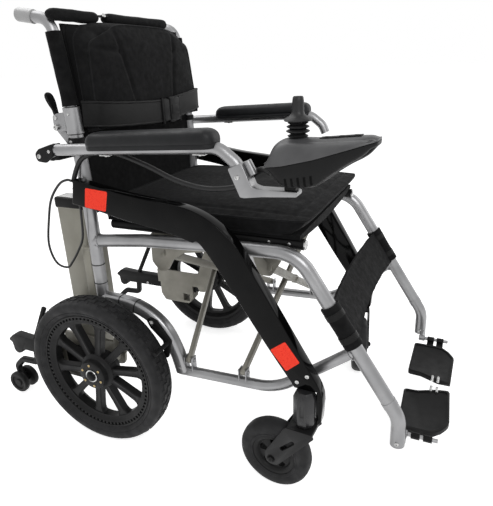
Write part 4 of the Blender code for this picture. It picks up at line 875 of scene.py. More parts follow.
def cable_path():
    """The controller's cable, from its gland on the arm up and along to the controller."""
    rise = [(0.0120, 0.5871), (0.0120, 0.5945), (0.0120, 0.6025), (-0.0060, 0.6330), (-0.0290, 0.6490),
            (-0.0660, 0.6560), (-0.1010, 0.6550), (-0.1640, 0.6360), (-0.2240, 0.6120), (-0.2830, 0.6010),
            (-0.3400, 0.6070), (-0.3640, 0.6215)]
    end = [(0.0003, -0.3800, 0.6335), (0.0026, -0.3886, 0.6395), (0.0095, -0.3972, 0.6425),
           (0.0164, -0.4058, 0.6425), (0.0190, -0.4141, 0.6395)]
    route = [(0.0, y, z) for y, z in rise] + end
    return smooth([(-CABLE_X - outboard, y, z) for outboard, y, z in route], per=4)


def reflector(corners):
    """A thin plate with round corners on the arm's outer face."""
    return plate(rounded(corners, 0.003, steps=4, closed=True), ARM_X1 - 0.0006, ARM_X1 + 0.0007, 0.0004, 1)


def cable_gland():
    """The cable's way out of the arm: a nut, a ribbed strain relief and a lip."""
    levels = [(0.0072, 0.5625), (0.0072, 0.5705), (0.0066, 0.5712), (0.0066, 0.5740), (0.0070, 0.5746),
              (0.0070, 0.5772), (0.0063, 0.5778), (0.0063, 0.5800), (0.0066, 0.5806), (0.0066, 0.5828),
              (0.0058, 0.5834), (0.0055, 0.5866)]
    profile = [(0.0, levels[0][1])] + levels + [(0.0, levels[-1][1])]
    return moved(turned(profile, 24), (-CABLE_X, 0.0120, 0.0), UPRIGHT)


def add_arms():
    shell = plate(arm_outline(), ARM_X0, ARM_X1, 0.0035, 3)
    welds = ((0.0045, 0.578, TUBE_R), (-0.325, 0.488, TUBE_R), (-0.474, 0.250, BOTTOM_R))
    bosses = [rod(0.0075, (FRAME_X + GAP + radius, y, z), (ARM_X0 + 0.004, y, z)) for y, z, radius in welds]
    pair("arm_shell", joined(shell, *bosses), GLOSS, "{}_frame", "arm_{}")
    rear = reflector([(-0.031, 0.590), (-0.083, 0.586), (-0.073, 0.546), (-0.023, 0.551)])
    front = reflector([(-0.408, 0.312), (-0.437, 0.335), (-0.465, 0.297), (-0.439, 0.273)])
    pair("arm_reflectors", joined(rear, front), RED, "{}_frame")
    bolts = [screw((ARM_X1, y, z), OUTWARD, 0.0042, 0.0022) for y, z in ((-0.460, 0.255), (-0.479, 0.271))]
    pair("arm_bolts", joined(*bolts), STEEL, "{}_frame")
    piece("cable_gland", cable_gland(), PLASTIC, "right_frame")


# Rear wheel

def knob(turn, half_turn, across, radii):
    """One tread knob: across is (inner, outer) along the axle, radii are its top at each."""
    middle = 0.5 * (across[0] + across[1])
    rings = []
    for sink, shrink in ((0.0030, 1.0), (0.0, 0.80)):
        corners = ((0, -1), (1, -1), (1, 1), (0, 1))
        rings.append([polar(middle + (across[a] - middle) * shrink, radii[a] - sink,
                            turn + way * half_turn * shrink)
                      for a, way in corners])
    return skin(rings)


def tread():
    """Four rows of knobs: two in the middle and two on the shoulders, set half a step apart."""
    count = 42
    step = 2 * math.pi / count
    middle, shoulder = (0.1750, 0.1747), (0.1743, 0.1690)
    knobs = []
    for k in range(count):
        turn = k * step
        knobs.append(knob(turn, 0.34 * step, (0.0008, 0.0112), middle))
        knobs.append(knob(turn + 0.5 * step, 0.34 * step, (-0.0112, -0.0008), middle[::-1]))
        knobs.append(knob(turn + 0.5 * step, 0.36 * step, (0.0130, 0.0262), shoulder))
        knobs.append(knob(turn, 0.36 * step, (-0.0262, -0.0130), shoulder[::-1]))
    return joined(*knobs)


def rear_tyre():
    side = [(RIM_R + GAP, 0.0205), (0.1448, 0.0232), (0.1475, 0.0262), (0.1500, 0.0270), (0.1512, 0.0263),
            (0.1532, 0.0284), (0.1590, 0.0294), (0.1640, 0.0290), (0.1680, 0.0272), (0.1708, 0.0235),
            (0.1722, 0.0170), (0.1726, 0.0060)]
    return joined(turned(both_ways(side), 96), tread())


def rear_rim():
    """The rim's ring, hollowed for the row of notches, with flanges for the tyre."""
    profile = [
        (0.1180, 0.0120), (0.1215, 0.0128), (0.1265, 0.0165), (0.1300, 0.0190), (0.1308, 0.0192),
        (0.1312, 0.0105), (0.1362, 0.0105), (0.1366, 0.0205), (0.1385, 0.0215), (0.1405, 0.0212),
        (RIM_R, 0.0200), (RIM_R, -0.0205), (0.1395, -0.0215), (0.1320, -0.0205), (0.1285, -0.0150),
        (0.1250, -0.0075), (0.1180, -0.0065),
    ]
    notches = 80
    step = 2 * math.pi / notches
    return joined(turned(profile, 120), *[rib(k * step, 0.24 * step) for k in range(notches)])


def rib(turn, half_turn):
    """A small block that stands across the rim's groove, between two notches."""
    inner, outer = 0.1305, 0.1370
    corners = ((inner, -1), (outer, -1), (outer, 1), (inner, 1))
    return skin([[polar(along, r, turn + way * half_turn) for r, way in corners]
                 for along in (0.0100, 0.0196)])


def spoke(angle):
    """A tapered spoke with a ridge down its middle. angle is above the forward horizontal."""
    stations = [(0.030, 0.0080, 0.0150), (0.046, 0.0078, 0.0128), (0.080, 0.0083, 0.0118),
                (0.106, 0.0092, 0.0118), (0.114, 0.0120, 0.0120), (0.1205, 0.0190, 0.0124)]
    rings = []
    for radius, half, face in stations:
        right = [(half - 0.0014, -0.0066), (half, -0.0050), (half, face - 0.0022),
                 (half - 0.0018, face - 0.0004), (half - 0.0034, face - 0.0016)]
        section = right + [(-a, along) for a, along in reversed(right)]
        rings.append([(along, -radius * math.cos(angle) + a * math.sin(angle),
                       radius * math.sin(angle) + a * math.cos(angle)) for a, along in section])
    return skin(rings)


def hub():
    step = HUB_FACE - 0.0012
    return turned([(0, HUB_INNER), (0.0300, HUB_INNER), (0.0340, HUB_INNER + 0.0030), (0.0360, -0.0070),
                   (0.0430, -0.0066), (0.0430, 0.0122), (0.0395, 0.0140), (0.0350, 0.0165), (0.0336, 0.0190),
                   (0.0336, HUB_FACE - 0.0035), (0.0325, step), (0.0300, HUB_FACE), (0.0180, HUB_FACE),
                   (0.0172, step), (0, step)], 72)


def hub_cap():
    return turned([(0, HUB_FACE), (0.0118, HUB_FACE), (0.0118, HUB_FACE + 0.0030),
                   (0.0106, HUB_FACE + 0.0048), (0.0080, HUB_OUTER - 0.0006), (0.0040, HUB_OUTER),
                   (0, HUB_OUTER)], 48)


def hub_ring():
    """The bright ring round the cap."""
    return turned([(0.0120, HUB_FACE - 0.0010), (0.0150, HUB_FACE - 0.0010), (0.0150, HUB_FACE + 0.0012),
                   (0.0142, HUB_FACE + 0.0022), (0.0120, HUB_FACE + 0.0020)], 48)


def hub_screws():
    turns = [math.radians(23.0 - 60.0 * k) for k in range(6)]
    return joined(*[screw(polar(HUB_FACE - 0.0003, 0.0255, t), OUTWARD, 0.0030, 0.0022) for t in turns])


def add_rear_wheels():
    body = "rear_wheel_{}"
    step = 2 * math.pi / SPOKES
    spokes = [spoke(SPOKE_PHASE + step * k) for k in range(SPOKES)]
    for name, shape, look, replaced in (
            ("tyre", rear_tyre(), RUBBER, "rear_tyre_{}"),
            ("rim", joined(rear_rim(), hub(), *spokes), RIM, "rear_rim_{}"),
            ("hub_cap", hub_cap(), GLOSS, None),
            ("hub_ring", hub_ring(), STEEL, None),
            ("hub_screws", hub_screws(), BRASS, None)):
        pair(name, moved(shape, (WHEEL_X, 0.0, WHEEL_R)), look, body, replaced)


# Casters

def caster_wheel():
    """A dished wheel with five windows. Its profile is drawn for one side and mirrored."""
    half = [(0.0057, CASTER_HALF + 0.0010), (0.0115, CASTER_HALF + 0.0010), (0.0130, 0.0110),
            (0.0180, 0.0100), (0.0340, 0.0090), (0.0370, 0.0140), (0.0400, 0.0155), (0.0448, 0.0150)]
    holes = []
    for k in range(5):
        turn = 2.0 * math.pi * (k + 0.25) / 5
        corners = [polar(0.0, radius, turn + spread)[1:] for radius, spread in (
            (0.0175, -0.26), (0.0315, -0.30), (0.0335, 0.0), (0.0315, 0.30), (0.0175, 0.26))]
        holes.append(plate(rounded(corners, 0.003, steps=3, closed=True), -0.03, 0.03))
    return cut(turned(both_ways(half), 60), holes)


def cut(mesh, cutters):
    """The mesh less all the cutters."""
    holder = bpy.data.objects.new("holder", mesh)
    helper = bpy.data.objects.new("helper", joined(*cutters))
    for obj in (holder, helper):
        bpy.context.scene.collection.objects.link(obj)
    modifier = holder.modifiers.new("cut", "BOOLEAN")
    modifier.operation = "DIFFERENCE"
    modifier.solver = "EXACT"
    modifier.object = helper
    result = finished(holder)
    bpy.data.objects.remove(helper, do_unlink=True)
    return result


def caster_tyre():
    side = [(0.0452, 0.0160), (0.0480, 0.0182), (0.0500, 0.0188), (0.0512, 0.0180), (0.0530, 0.0186),
            (0.0600, 0.0190), (0.0660, 0.0182), (0.0705, 0.0150), (0.0735, 0.0095), (CASTER_R, 0.0030)]
    return turned(both_ways(side), 84)


def add_casters():
    reach = CASTER_HALF + 0.0062
    ends = joined(*[nut((way * reach, TRAIL, CASTER_R), (way, 0, 0), 0.0068, 0.0042) for way in (-1, 1)])
    for side, sign in (("left", 1), ("right", -1)):
        turn = Matrix.Rotation(CASTER_TURN[side], 4, "Z")
        stem = Vector((sign * STEM_X, STEM_Y, 0.0))
        centre = stem + turn @ Vector((0.0, TRAIL, CASTER_R))
        body = "caster_wheel_" + side
        piece("caster_rim_" + side, moved(caster_wheel(), centre, turn), RIM, body, ["caster_wheel_" + side])
        piece("caster_band_" + side, moved(caster_tyre(), centre, turn), RUBBER, body,
              ["caster_tyre_" + side])
        piece("caster_nuts_" + side, moved(ends, stem, turn), PLASTIC, "caster_fork_" + side)
    softened_pair("caster_fork", PAINT_DARK)
    softened_pair("caster_housing", DARK, 0.0012)


# Braces and rails

def add_braces():
    for node in ("brace_front_a", "brace_front_b", "brace_rear_a", "brace_rear_b"):
        softened(node, PAINT, 0.0010)


def add_rails():
    for side, sign, body in (("left", 1, "brace_a"), ("right", -1, "brace_b")):
        x = sign * RAIL_X
        rail = rod(RAIL_R, (x, RAIL_REAR, RAIL_Z), (x, RAIL_FRONT, RAIL_Z), 24, 0.0006)
        plug = rod(RAIL_R - 0.0012, (x, RAIL_FRONT + 0.004, RAIL_Z), (x, RAIL_FRONT - 0.0035, RAIL_Z), 24,
                   0.0012)
        bolts = [screw((x + sign * 0.0100, y, RAIL_Z + 0.002), (sign, 0, 0), 0.0032, 0.0018, False)
                 for y in (-0.307, -0.386, -0.425)]
        piece("rail_" + side, rail, PLASTIC, body, ["seat_rail_" + side])
        piece("rail_plug_" + side, joined(plug, *bolts), STEEL, body)


# Soft goods

def slab(place, columns, rows, layers=4):
    """A closed form. place(u, v, w) gives its points: u, v from -1 to 1 across, w from 0 behind to 1."""
    bm = bmesh.new()

    def point(i, j, w):
        return bm.verts.new(place(2.0 * i / columns - 1.0, 2.0 * j / rows - 1.0, w))

    behind, front = ([[point(i, j, w) for i in range(columns + 1)] for j in range(rows + 1)]
                     for w in (0.0, 1.0))
    for grid in (behind, front):
        for j in range(rows):
            for i in range(columns):
                bm.faces.new((grid[j][i], grid[j][i + 1], grid[j + 1][i + 1], grid[j + 1][i]))
    rim = rim_steps(columns, rows)
    between = [[point(i, j, k / layers) for i, j in rim] for k in range(1, layers)]
    bridge(bm, [[behind[j][i] for i, j in rim]] + between + [[front[j][i] for i, j in rim]])
    return closed_mesh(bm)


def rim_steps(columns, rows):
    """The grid places round a slab's edge, in order."""
    return ([(i, 0) for i in range(columns)] + [(columns, j) for j in range(rows)]
            + [(columns - i, rows) for i in range(columns)] + [(0, rows - j) for j in range(rows)])


def piped(place, columns, rows, w, radius):
    """A sewn cord round the edge of a slab, at depth w."""
    line = [place(2.0 * i / columns - 1.0, 2.0 * j / rows - 1.0, w) for i, j in rim_steps(columns, rows)]
    aslant = Vector((0.31, 0.52, 0.79))
    rings = []
    for k, here in enumerate(line):
        along = (line[(k + 1) % len(line)] - line[k - 1]).normalized()
        side = along.cross(aslant).normalized()
        up = along.cross(side)
        rings.append([here + side * a + up * b for a, b in circle(radius, 8)])
    return skin(rings, looped=True)


def groove(distance, width=0.0035):
    """How deep a sewn line draws the cloth in, from 0 to 1, at a distance from it."""
    return math.exp(-(distance / width) ** 2)


def crease(point, per_metre, seed):
    """Slow uneven folds, from -1 to 1."""
    return noise.noise(Vector(point) * per_metre + Vector((seed, 2.3 * seed, 0.7 * seed)))


def soft(name, mesh, look, body, replaced=()):
    """A fabric piece, with a mesh of its own, that rides on the given body."""
    obj = piece(name, mesh, look, body, replaced, CLOTH_SHARP)
    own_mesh(obj)
    return obj


def seat_point(u, v, w):
    """The seat: crowned, with two lines of stitching across it; its front and sides slope in underneath."""
    middle = 0.5 * (SEAT_REAR + SEAT_FRONT)
    under = 1.0 - w
    x = (SEAT_HALF - 0.0060 * under) * u * (1.0 - 0.040 * abs(v) ** 9)
    y = middle + 0.5 * (SEAT_REAR - SEAT_FRONT) * v * (1.0 - 0.035 * abs(u) ** 9)
    y += 0.030 * under * max(0.0, -v) ** 6
    edge = max(abs(u), abs(v))
    bulge = 0.0040 * math.sin(math.pi * w) * (1.0 if edge > EDGE else 0.0)
    x += bulge * u * abs(u) ** 8
    y += bulge * v * abs(v) ** 8
    seam_z = 0.5440
    if w < 0.5 and edge < EDGE:
        return Vector((x, y, SEAT_BOTTOM))
    z = SEAT_BOTTOM + (seam_z - SEAT_BOTTOM) * w
    if w > EDGE:
        crown = (1.0 - abs(u) ** 5) * (1.0 - abs(v) ** 6)
        z += 0.0125 * crown
        z -= 0.0034 * groove(abs(u) - 0.86, 0.016) * crown ** 0.5
        z -= 0.0034 * groove(v + 0.86, 0.016) * (1.0 - abs(u) ** 8)
        pleats = 0.0022 * crease((x, 0.3 * y, 0.0), 38.0, 3.0) * max(0.0, 1.0 - 3.5 * abs(v + 0.80))
        z += pleats + 0.0020 * crease((x, y, 0.0), 14.0, 1.0) * crown
    return Vector((x, y, z))


def seat_sling_point(u, v, w):
    x = (RAIL_X + RAIL_R) * u
    y = 0.5 * (RAIL_REAR + RAIL_FRONT + 0.010) + 0.5 * (RAIL_REAR - RAIL_FRONT - 0.002) * v
    sag = 0.010 * (1.0 - u ** 2)
    top = SEAT_BOTTOM + 0.0015
    return Vector((x, y, (RAIL_Z + RAIL_R + GAP - sag) * (1.0 - w) + top * w))


def add_seat():
    """The seat pad, its piping and the sling under it; they ride on no body."""
    grid = (84, 88)
    pad = made("seat_pad", slab(seat_point, *grid, 5), CLOTH, CLOTH_SHARP)
    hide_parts("seat_cushion")
    edges = joined(piped(seat_point, *grid, 1.0, 0.0018), piped(seat_point, *grid, 0.0, 0.0014))
    piping = made("seat_piping", edges, PIPING, CLOTH_SHARP)
    sling = made("seat_sling", slab(seat_sling_point, 40, 8, 1), NYLON, CLOTH_SHARP)
    for obj in (pad, piping, sling):
        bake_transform(obj)


def sling_face(z):
    """The front of the back sling at a height."""
    return 0.0030 + (z - SLING_LOW) / (SLING_HIGH - SLING_LOW) * 0.0165


def back_point(u, v, w):
    """The back cushion: a full-width gusset behind, its face narrower, round-cornered and sewn in fields."""
    rise = 0.5 * (v + 1.0)
    high = max(0.0, v)
    half = 0.1990 - 0.018 * rise * w
    x = half * u * (1.0 - (0.03 + 0.25 * w) * high ** 7)
    z = SLING_LOW + 0.003 + (0.8825 - SLING_LOW) * rise - (0.006 + 0.019 * w) * abs(u) ** 6 * high ** 3
    back = sling_face(z) - 2 * GAP
    edge_y = -0.0300 + 0.0120 * rise
    if max(abs(u), abs(v)) > EDGE:
        bulge = 0.0040 * math.sin(math.pi * w)
        return Vector((x + bulge * u * abs(u) ** 6, back + (edge_y - back) * w, z + bulge * v * abs(v) ** 6))
    if w < 0.5:
        return Vector((x, back, z))
    crown = (1.0 - abs(u) ** 4) * (1.0 - abs(v) ** 5)
    y = edge_y - 0.0125 * crown
    seam_x = 0.075 + (z - 0.740) * 0.253
    level = 0.8333 + (abs(x) - 0.0985) * 0.113
    y += 0.0045 * groove(abs(x) - seam_x, 0.0048) * min(1.0, 3.0 * (1.0 - abs(v)))
    if abs(x) > seam_x:
        y += 0.0045 * groove(z - level, 0.0048) * min(1.0, 6.0 * (1.0 - abs(u)))
    y += 0.0014 * crease((x, 0.0, z), 22.0, 5.0) * crown
    y += 0.0016 * crease((0.4 * x, 0.0, z), 34.0, 9.0) * crown * groove(v + 0.5, 0.4)
    return Vector((x, y, z))


def sling_point(u, v, w):
    rise = 0.5 * (v + 1.0)
    z = SLING_LOW + (SLING_HIGH - SLING_LOW) * rise
    sag = 0.0018 * (1.0 - u ** 2) * crease((0.6 * u, 0.0, z), 12.0, 2.0)
    return Vector((0.2035 * u, sling_face(z) + 0.0052 - 0.0050 * w + sag, z))


def sleeve():
    """The sling's sewn tube round a cane, its mouth flared at the foot."""
    low, high = CANE_COLLAR_TOP[1] + 0.001, CANE_CORNER[1] - 0.021
    path, sizes = [], []
    for k in range(15):
        share = k / 14
        z = low + (high - low) * share
        y = CANE_COLLAR_TOP[0] + (z - CANE_COLLAR_TOP[1]) / (CANE_CORNER[1] - CANE_COLLAR_TOP[1]) * 0.0160
        path.append((y, z))
        sizes.append(1.0 + 0.10 * math.exp(-share * 16.0) + 0.035 * crease((0.0, 0.0, z), 60.0, 4.0))
    return side_tube(path, SLEEVE_R, sizes=sizes)


def roll_half(x0, x1, seed):
    """One half of the stuffed roll along the top of the back."""
    path, sizes = [], []
    count = 26
    for k in range(count + 1):
        share = k / count
        end = min(share, 1.0 - share) * abs(x1 - x0)
        rounding = min(1.0, 0.55 + 0.45 * math.sin(min(1.0, end / 0.014) * math.pi / 2))
        sizes.append(rounding * (1.0 + 0.05 * crease((share, 0.0, 0.0), 9.0, seed)))
        path.append((x0 + (x1 - x0) * share, 0.0205,
                     0.8985 + 0.0010 * crease((share, 0.0, 0.0), 5.0, seed + 1)))
    return sweep(path, rounded_box(0.0215, 0.0250, 0.0100, 5), UPWARD, sizes)


BELT_LINE = [(-0.2085, -0.0055, 0.7225), (-0.2010, -0.0230, 0.7215), (-0.1840, -0.0375, 0.7195),
             (-0.1200, -0.0455, 0.7145), (0.0, -0.0480, 0.7095), (0.1000, -0.0462, 0.7165),
             (0.1840, -0.0375, 0.7235), (0.2010, -0.0230, 0.7240), (0.2085, -0.0055, 0.7240)]


def belt_strip(wide, thick, lift):
    line = [p + Vector((0.0, 0.0, lift)) for p in smooth(BELT_LINE, 8)]
    return sweep(line, rounded_box(wide, thick, 0.45 * min(wide, thick), 3), UPWARD)


def waist_belt():
    """A wide web, bound along its upper and lower edges."""
    edges = [belt_strip(0.0050, 0.0082, lift) for lift in (0.0222, -0.0222)]
    return joined(belt_strip(0.0480, 0.0060, 0.0), *edges)


def buckle():
    """A side-release buckle: a body, a tongue with two prongs, and a bar at each end."""
    y0, y1 = -0.0560, -0.0470
    body = block(0.0290, 0.0700, y0, y1, 0.6830, 0.7360, 0.0030, 3)
    tongue = block(0.0020, 0.0275, y0 + 0.0008, y1, 0.6850, 0.7340, 0.0028, 3)
    prongs = [block(0.0250, 0.0460, y0 - 0.0002, y1, z, z + 0.0060, 0.0016) for z in (0.6812, 0.7318)]
    bars = [block(x, x + 0.0050, y0 + 0.0012, y1, 0.6800, 0.7375, 0.0018) for x in (-0.0020, 0.0700)]
    ridge = block(0.0350, 0.0620, y0 - 0.0009, y0 + 0.0010, 0.6990, 0.7200, 0.0008)
    return joined(body, tongue, ridge, *prongs, *bars)


def add_back():
    grid = (92, 56)
    soft("back_pad", slab(back_point, *grid, 6), CLOTH, "back_right", ["back_cushion"])
    edges = joined(piped(back_point, *grid, 1.0, 0.0017), piped(back_point, *grid, 1.0 / 3.0, 0.0013))
    soft("back_piping", edges, PIPING, "back_right")
    panel = soft("back_panel", slab(sling_point, 48, 24, 1), NYLON, "back_right", ["back_sling"])
    pair("back_sleeve", sleeve(), NYLON, "back_{}")
    near, far = roll_half(-0.2320, -0.1010, 1.0), roll_half(-0.0790, 0.1520, 6.0)
    soft("back_roll", joined(near, far), CLOTH, "back_right")
    strap = sweep([(-0.1030, 0.0185, 0.9020), (-0.0900, 0.0180, 0.9030), (-0.0770, 0.0185, 0.9020)],
                  rounded_box(0.0030, 0.0190, 0.0014), UPWARD)
    soft("roll_strap", strap, BELT, "back_right")
    snap = screw((-0.0900, 0.0100, 0.9035), (0, -0.75, 0.66), 0.0052, 0.0026, False)
    soft("roll_snap", snap, STEEL, "back_right")
    soft("waist_belt", waist_belt(), BELT, "back_right")
    soft("waist_buckle", buckle(), PLASTIC, "back_right")


def lower_panel_point(u, v, w):
    z = 0.603 + 0.085 * v
    y = 0.0075 + 0.0016 * w + 0.0040 * (1.0 - u ** 2) * (1.0 + 0.4 * crease((u, 0.0, z), 5.0, 7.0))
    return Vector((0.2040 * u, y, z))


def calf_point(u, v, w):
    """The calf strap: a padded band, its middle drawn back and its edges bound."""
    z = 0.3615 + 0.0360 * v
    slack = 1.0 - u ** 2
    thick = 0.0042 * (1.0 - 0.35 * groove(abs(v) - 0.80, 0.10)) * w
    y = leg_point(z) - 0.0010 + 0.0110 * slack - thick + 0.0008 * crease((u, 0.0, z), 16.0, 3.0)
    return Vector((0.2060 * u, y, z - 0.0045 * slack * v))


def calf_sleeve():
    path, sizes = [], []
    for k in range(12):
        z = 0.326 + 0.072 * k / 11
        path.append((leg_point(z), z))
        sizes.append(1.0 + 0.03 * crease((0.0, 0.0, z), 70.0, 8.0) + (0.05 if k in (0, 1, 10, 11) else 0.0))
    return side_tube(path, TUBE_R + 0.0036, sizes=sizes)


def add_straps():
    panel = soft("lower_back_panel", slab(lower_panel_point, 40, 12, 1), NYLON, "right_frame")
    band = soft("calf_band", slab(calf_point, 60, 14, 2), BAND, "right_frame", ["calf_strap"])
    pair("calf_sleeve", calf_sleeve(), BAND, "{}_frame")
    wraps = [side_tube([(leg_point(z) + 0.0002, z) for z in (low, low + 0.010)], TUBE_R + 0.0046)
             for low in (0.3365, 0.3770)]
    pair("calf_wraps", joined(*wraps), BELT, "{}_frame")


# Armrests

def armrest_path():
    return rounded([ARMREST_PIVOT, ARMREST_REAR, ARMREST_FRONT, (-0.3545, 0.6520), (-0.3630, 0.6330)],
                   [0, 0.02, 0.04, 0.03, 0], steps=10)


def armrest_line(y):
    """The height of the armrest tube's middle line."""
    return ARMREST_REAR[1] + (ARMREST_REAR[0] - y) * ARMREST_SLOPE


def armrest_pad():
    """A moulded pad: an oblong of crowned section over a lower lip, tilted with its tube."""
    half_length = 0.5 * (PAD_REAR - PAD_FRONT)
    middle = 0.5 * (PAD_REAR + PAD_FRONT)
    levels = [(0.00, 0.90), (0.05, 0.965), (0.22, 0.985), (0.26, 0.955), (0.30, 0.99), (0.45, 1.0),
              (0.62, 0.985), (0.76, 0.93), (0.86, 0.84), (0.93, 0.72), (0.975, 0.56), (1.0, 0.36)]
    rings = []
    for share, size in levels:
        inset = (1.0 - size) * PAD_HALF
        half = PAD_HALF - inset
        ring = []
        for x, y in rounded_box(2 * half, 2 * (half_length - inset), 0.72 * half, 10):
            end = max(0.0, abs(y) / half_length - 0.80) / 0.20
            z = armrest_line(middle + y) + PAD_THICK * share * (1.0 - 0.16 * end ** 2) - 0.0004
            ring.append((ARMREST_X + x, middle + y, z))
        rings.append(ring)
    return skin(rings)


def armrest_fitting():
    """The black clevis that closes the tube's rear end round its pivot, and the pivot's eye."""
    x = ARMREST_X
    outline = rounded([(0.0256, 0.6735), (0.0256, 0.6500), (0.0470, 0.6365), (0.0690, 0.6385),
                       (0.0714, 0.6540), (0.0610, 0.6630)], [0.003, 0.006, 0.008, 0.008, 0.008, 0.008],
                       steps=5, closed=True)
    cheeks = [plate(outline, x + low, x + high, 0.0018, 3)
              for low, high in ((-0.0128, -0.0070), (0.0070, 0.0128))]
    start, end = ((x, y, armrest_line(y)) for y in (0.0250, 0.0330))
    collar = rod(ARMREST_TUBE_R + 0.0012, start, end, 28, 0.0008)
    eye = cross_rod(0.0120, x, 0.0112, *ARMREST_PIVOT, sides=32, edge=0.0010)
    return joined(*cheeks, collar, eye)


def armrest_screws():
    """The two screws under the pad, each with a small tab."""
    x = ARMREST_X
    parts = []
    for y in (-0.092, -0.288):
        z = armrest_line(y)
        parts.append(block(x - 0.006, x + 0.006, y - 0.012, y + 0.012, z - 0.0122, z - 0.0100, 0.0008))
        parts.append(screw((x, y, z - 0.0120), (0, 0, -1), 0.0036, 0.0020, False))
    return joined(*parts)


def add_armrests():
    tube = side_tube(armrest_path(), ARMREST_TUBE_R, ARMREST_X)
    pair("armrest_bar", tube, SILVER, "armrest_{}", "armrest_tube_{}")
    pair("armrest_fitting", armrest_fitting(), PLASTIC, "armrest_{}")
    for cushion in pair("armrest_cushion", armrest_pad(), FOAM, "armrest_{}", "armrest_pad_{}"):
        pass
    pair("armrest_screws", armrest_screws(), STEEL, "armrest_{}")
    softened_pair("armrest_hinge", PLASTIC, 0.0012)
    y, z = ARMREST_PIVOT
    bolts = [screw((ARMREST_X + 0.0126, y + 0.004, z - 0.001), OUTWARD, 0.0048, 0.0026),
             screw((ARMREST_X + 0.0126, 0.0340, 0.6590), OUTWARD, 0.0034, 0.0018)]
    pair("armrest_pivot_bolt", joined(*bolts), STEEL, "armrest_{}")


# Back canes

def cane_path():
    return rounded([CANE_FOOT, CANE_COLLAR_TOP, CANE_CORNER, CANE_END], [0, 0, 0.032, 0], steps=12)


def paddle():
    """The release lever: a forked neck on its bolt and a spoon-shaped thumb blade."""
    x = FRAME_X
    y, z = PADDLE_PIVOT
    sides = rounded([(y - 0.0060, z - 0.006), (y + 0.0070, z - 0.006), (y + 0.0140, z + 0.020),
                     (y + 0.0060, z + 0.020)], [0.005, 0.005, 0, 0], 3, True)
    stations = [(0.0030, 0.0060, 0.42), (0.0072, 0.0150, 0.66), (0.0108, 0.0240, 0.88), (0.0140, 0.0320, 1.0),
                (0.0168, 0.0390, 0.98), (0.0184, 0.0430, 0.84), (0.0194, 0.0455, 0.62),
                (0.0200, 0.0470, 0.30)]
    line = side_path([(y + back, z + rise) for back, rise, _ in stations])
    blade = sweep(line, rounded_box(0.0215, 0.0068, 0.0032, 5), sizes=[size for _, _, size in stations])
    return joined(plate(sides, x - 0.0033, x + 0.0033, 0.0008), blade)


def cane():
    """The back's upright, with the collar at its foot and the collar's two ears."""
    py, pz = BACK_PIVOT
    qy, qz = PADDLE_PIVOT
    ear = rounded([(0.014, pz - 0.006), (py - 0.004, pz - 0.0085), (py + 0.0095, pz - 0.004),
                   (qy + 0.0075, qz + 0.004), (qy - 0.004, qz + 0.0085), (0.016, qz + 0.012)],
                  [0, 0.006, 0.008, 0.006, 0.006, 0], 5, True)
    ears = [plate(ear, FRAME_X + low, FRAME_X + high, 0.0012)
            for low, high in ((-0.0095, -0.0036), (0.0036, 0.0095))]
    collar = side_tube([CANE_FOOT, CANE_COLLAR_TOP], COLLAR_R, sides=32, round_ends=0.0018)
    return joined(side_tube(cane_path(), CANE_R, round_ends=0.0008), collar, *ears)


def cane_bolts():
    x = FRAME_X
    return joined(
        screw((x + COLLAR_R - 0.0004, 0.0095, 0.724), OUTWARD, 0.0026, 0.0014, False),
        cross_rod(0.0030, x, 0.0110, *PADDLE_PIVOT, edge=0.0006),
        screw((x + 0.0094, *PADDLE_PIVOT), OUTWARD, 0.0044, 0.0020),
        screw((x + 0.0094, 0.0460, 0.6990), OUTWARD, 0.0040, 0.0022),
    )


def grip():
    """The sleeve over the cane's rearward end."""
    fall = 0.171
    start = (GRIP_START, CANE_END[1] - (CANE_END[0] - GRIP_START) * fall)
    path = [p for p in cane_path() if p[0] > GRIP_START]
    end = (CANE_END[0] + 0.0025, CANE_END[1] + 0.0004)
    return side_tube([start] + path[:-1] + [end], GRIP_R, sides=28, round_ends=0.0012)


def post_clamp():
    band = side_tube([(0.0118, 0.6650), (0.0122, 0.6790)], TUBE_R + 0.0030, sides=32, round_ends=0.0012)
    return joined(band, block(FRAME_X + 0.0120, FRAME_X + 0.0185, 0.0040, 0.0180, 0.6655, 0.6785, 0.0018))


def add_canes():
    pair("cane", cane(), SILVER, "back_{}", "back_cane_{}")
    pair("cane_bolts", cane_bolts(), STEEL, "back_{}")
    pair("grip", grip(), GRIP, "back_{}", "push_grip_{}")
    pair("paddle_blade", paddle(), PLASTIC, "paddle_{}", "release_paddle_{}")
    pair("post_clamp", post_clamp(), PLASTIC, "{}_frame")
    pair("clamp_screw", screw((FRAME_X + 0.0183, 0.0108, 0.6720), OUTWARD, 0.0034, 0.0020), STEEL, "{}_frame")


# Drive brackets, anti-tippers, brakes

def roller():
    """The anti-tipper's two rollers on their axle."""
    rim = ROLLER_R
    half = [(0.0050, 0.0082), (rim - 0.004, 0.0082), (rim - 0.0010, 0.0096), (rim, 0.0120), (rim, 0.0188),
            (rim - 0.0014, 0.0214), (rim - 0.005, 0.0225), (0.020, 0.0216), (0.0185, 0.0190),
            (0.0105, 0.0190), (0.0090, 0.0220), (0.0050, 0.0225)]
    profile = [(0, -0.0215)] + [(r, -a) for r, a in reversed(half)] + half + [(0, 0.0215)]
    return turned(profile, 48)


def tipper_pin():
    """The pin that holds the anti-tipper in its tube, with its two heads."""
    y, z = 0.204, 0.148
    heads = [screw((TIPPER_X + way * 0.0106, y, z), (way, 0, 0), 0.0042, 0.0020, False) for way in (1, -1)]
    return joined(cross_rod(0.0022, TIPPER_X, 0.016, y, z, edge=0.0004), *heads)


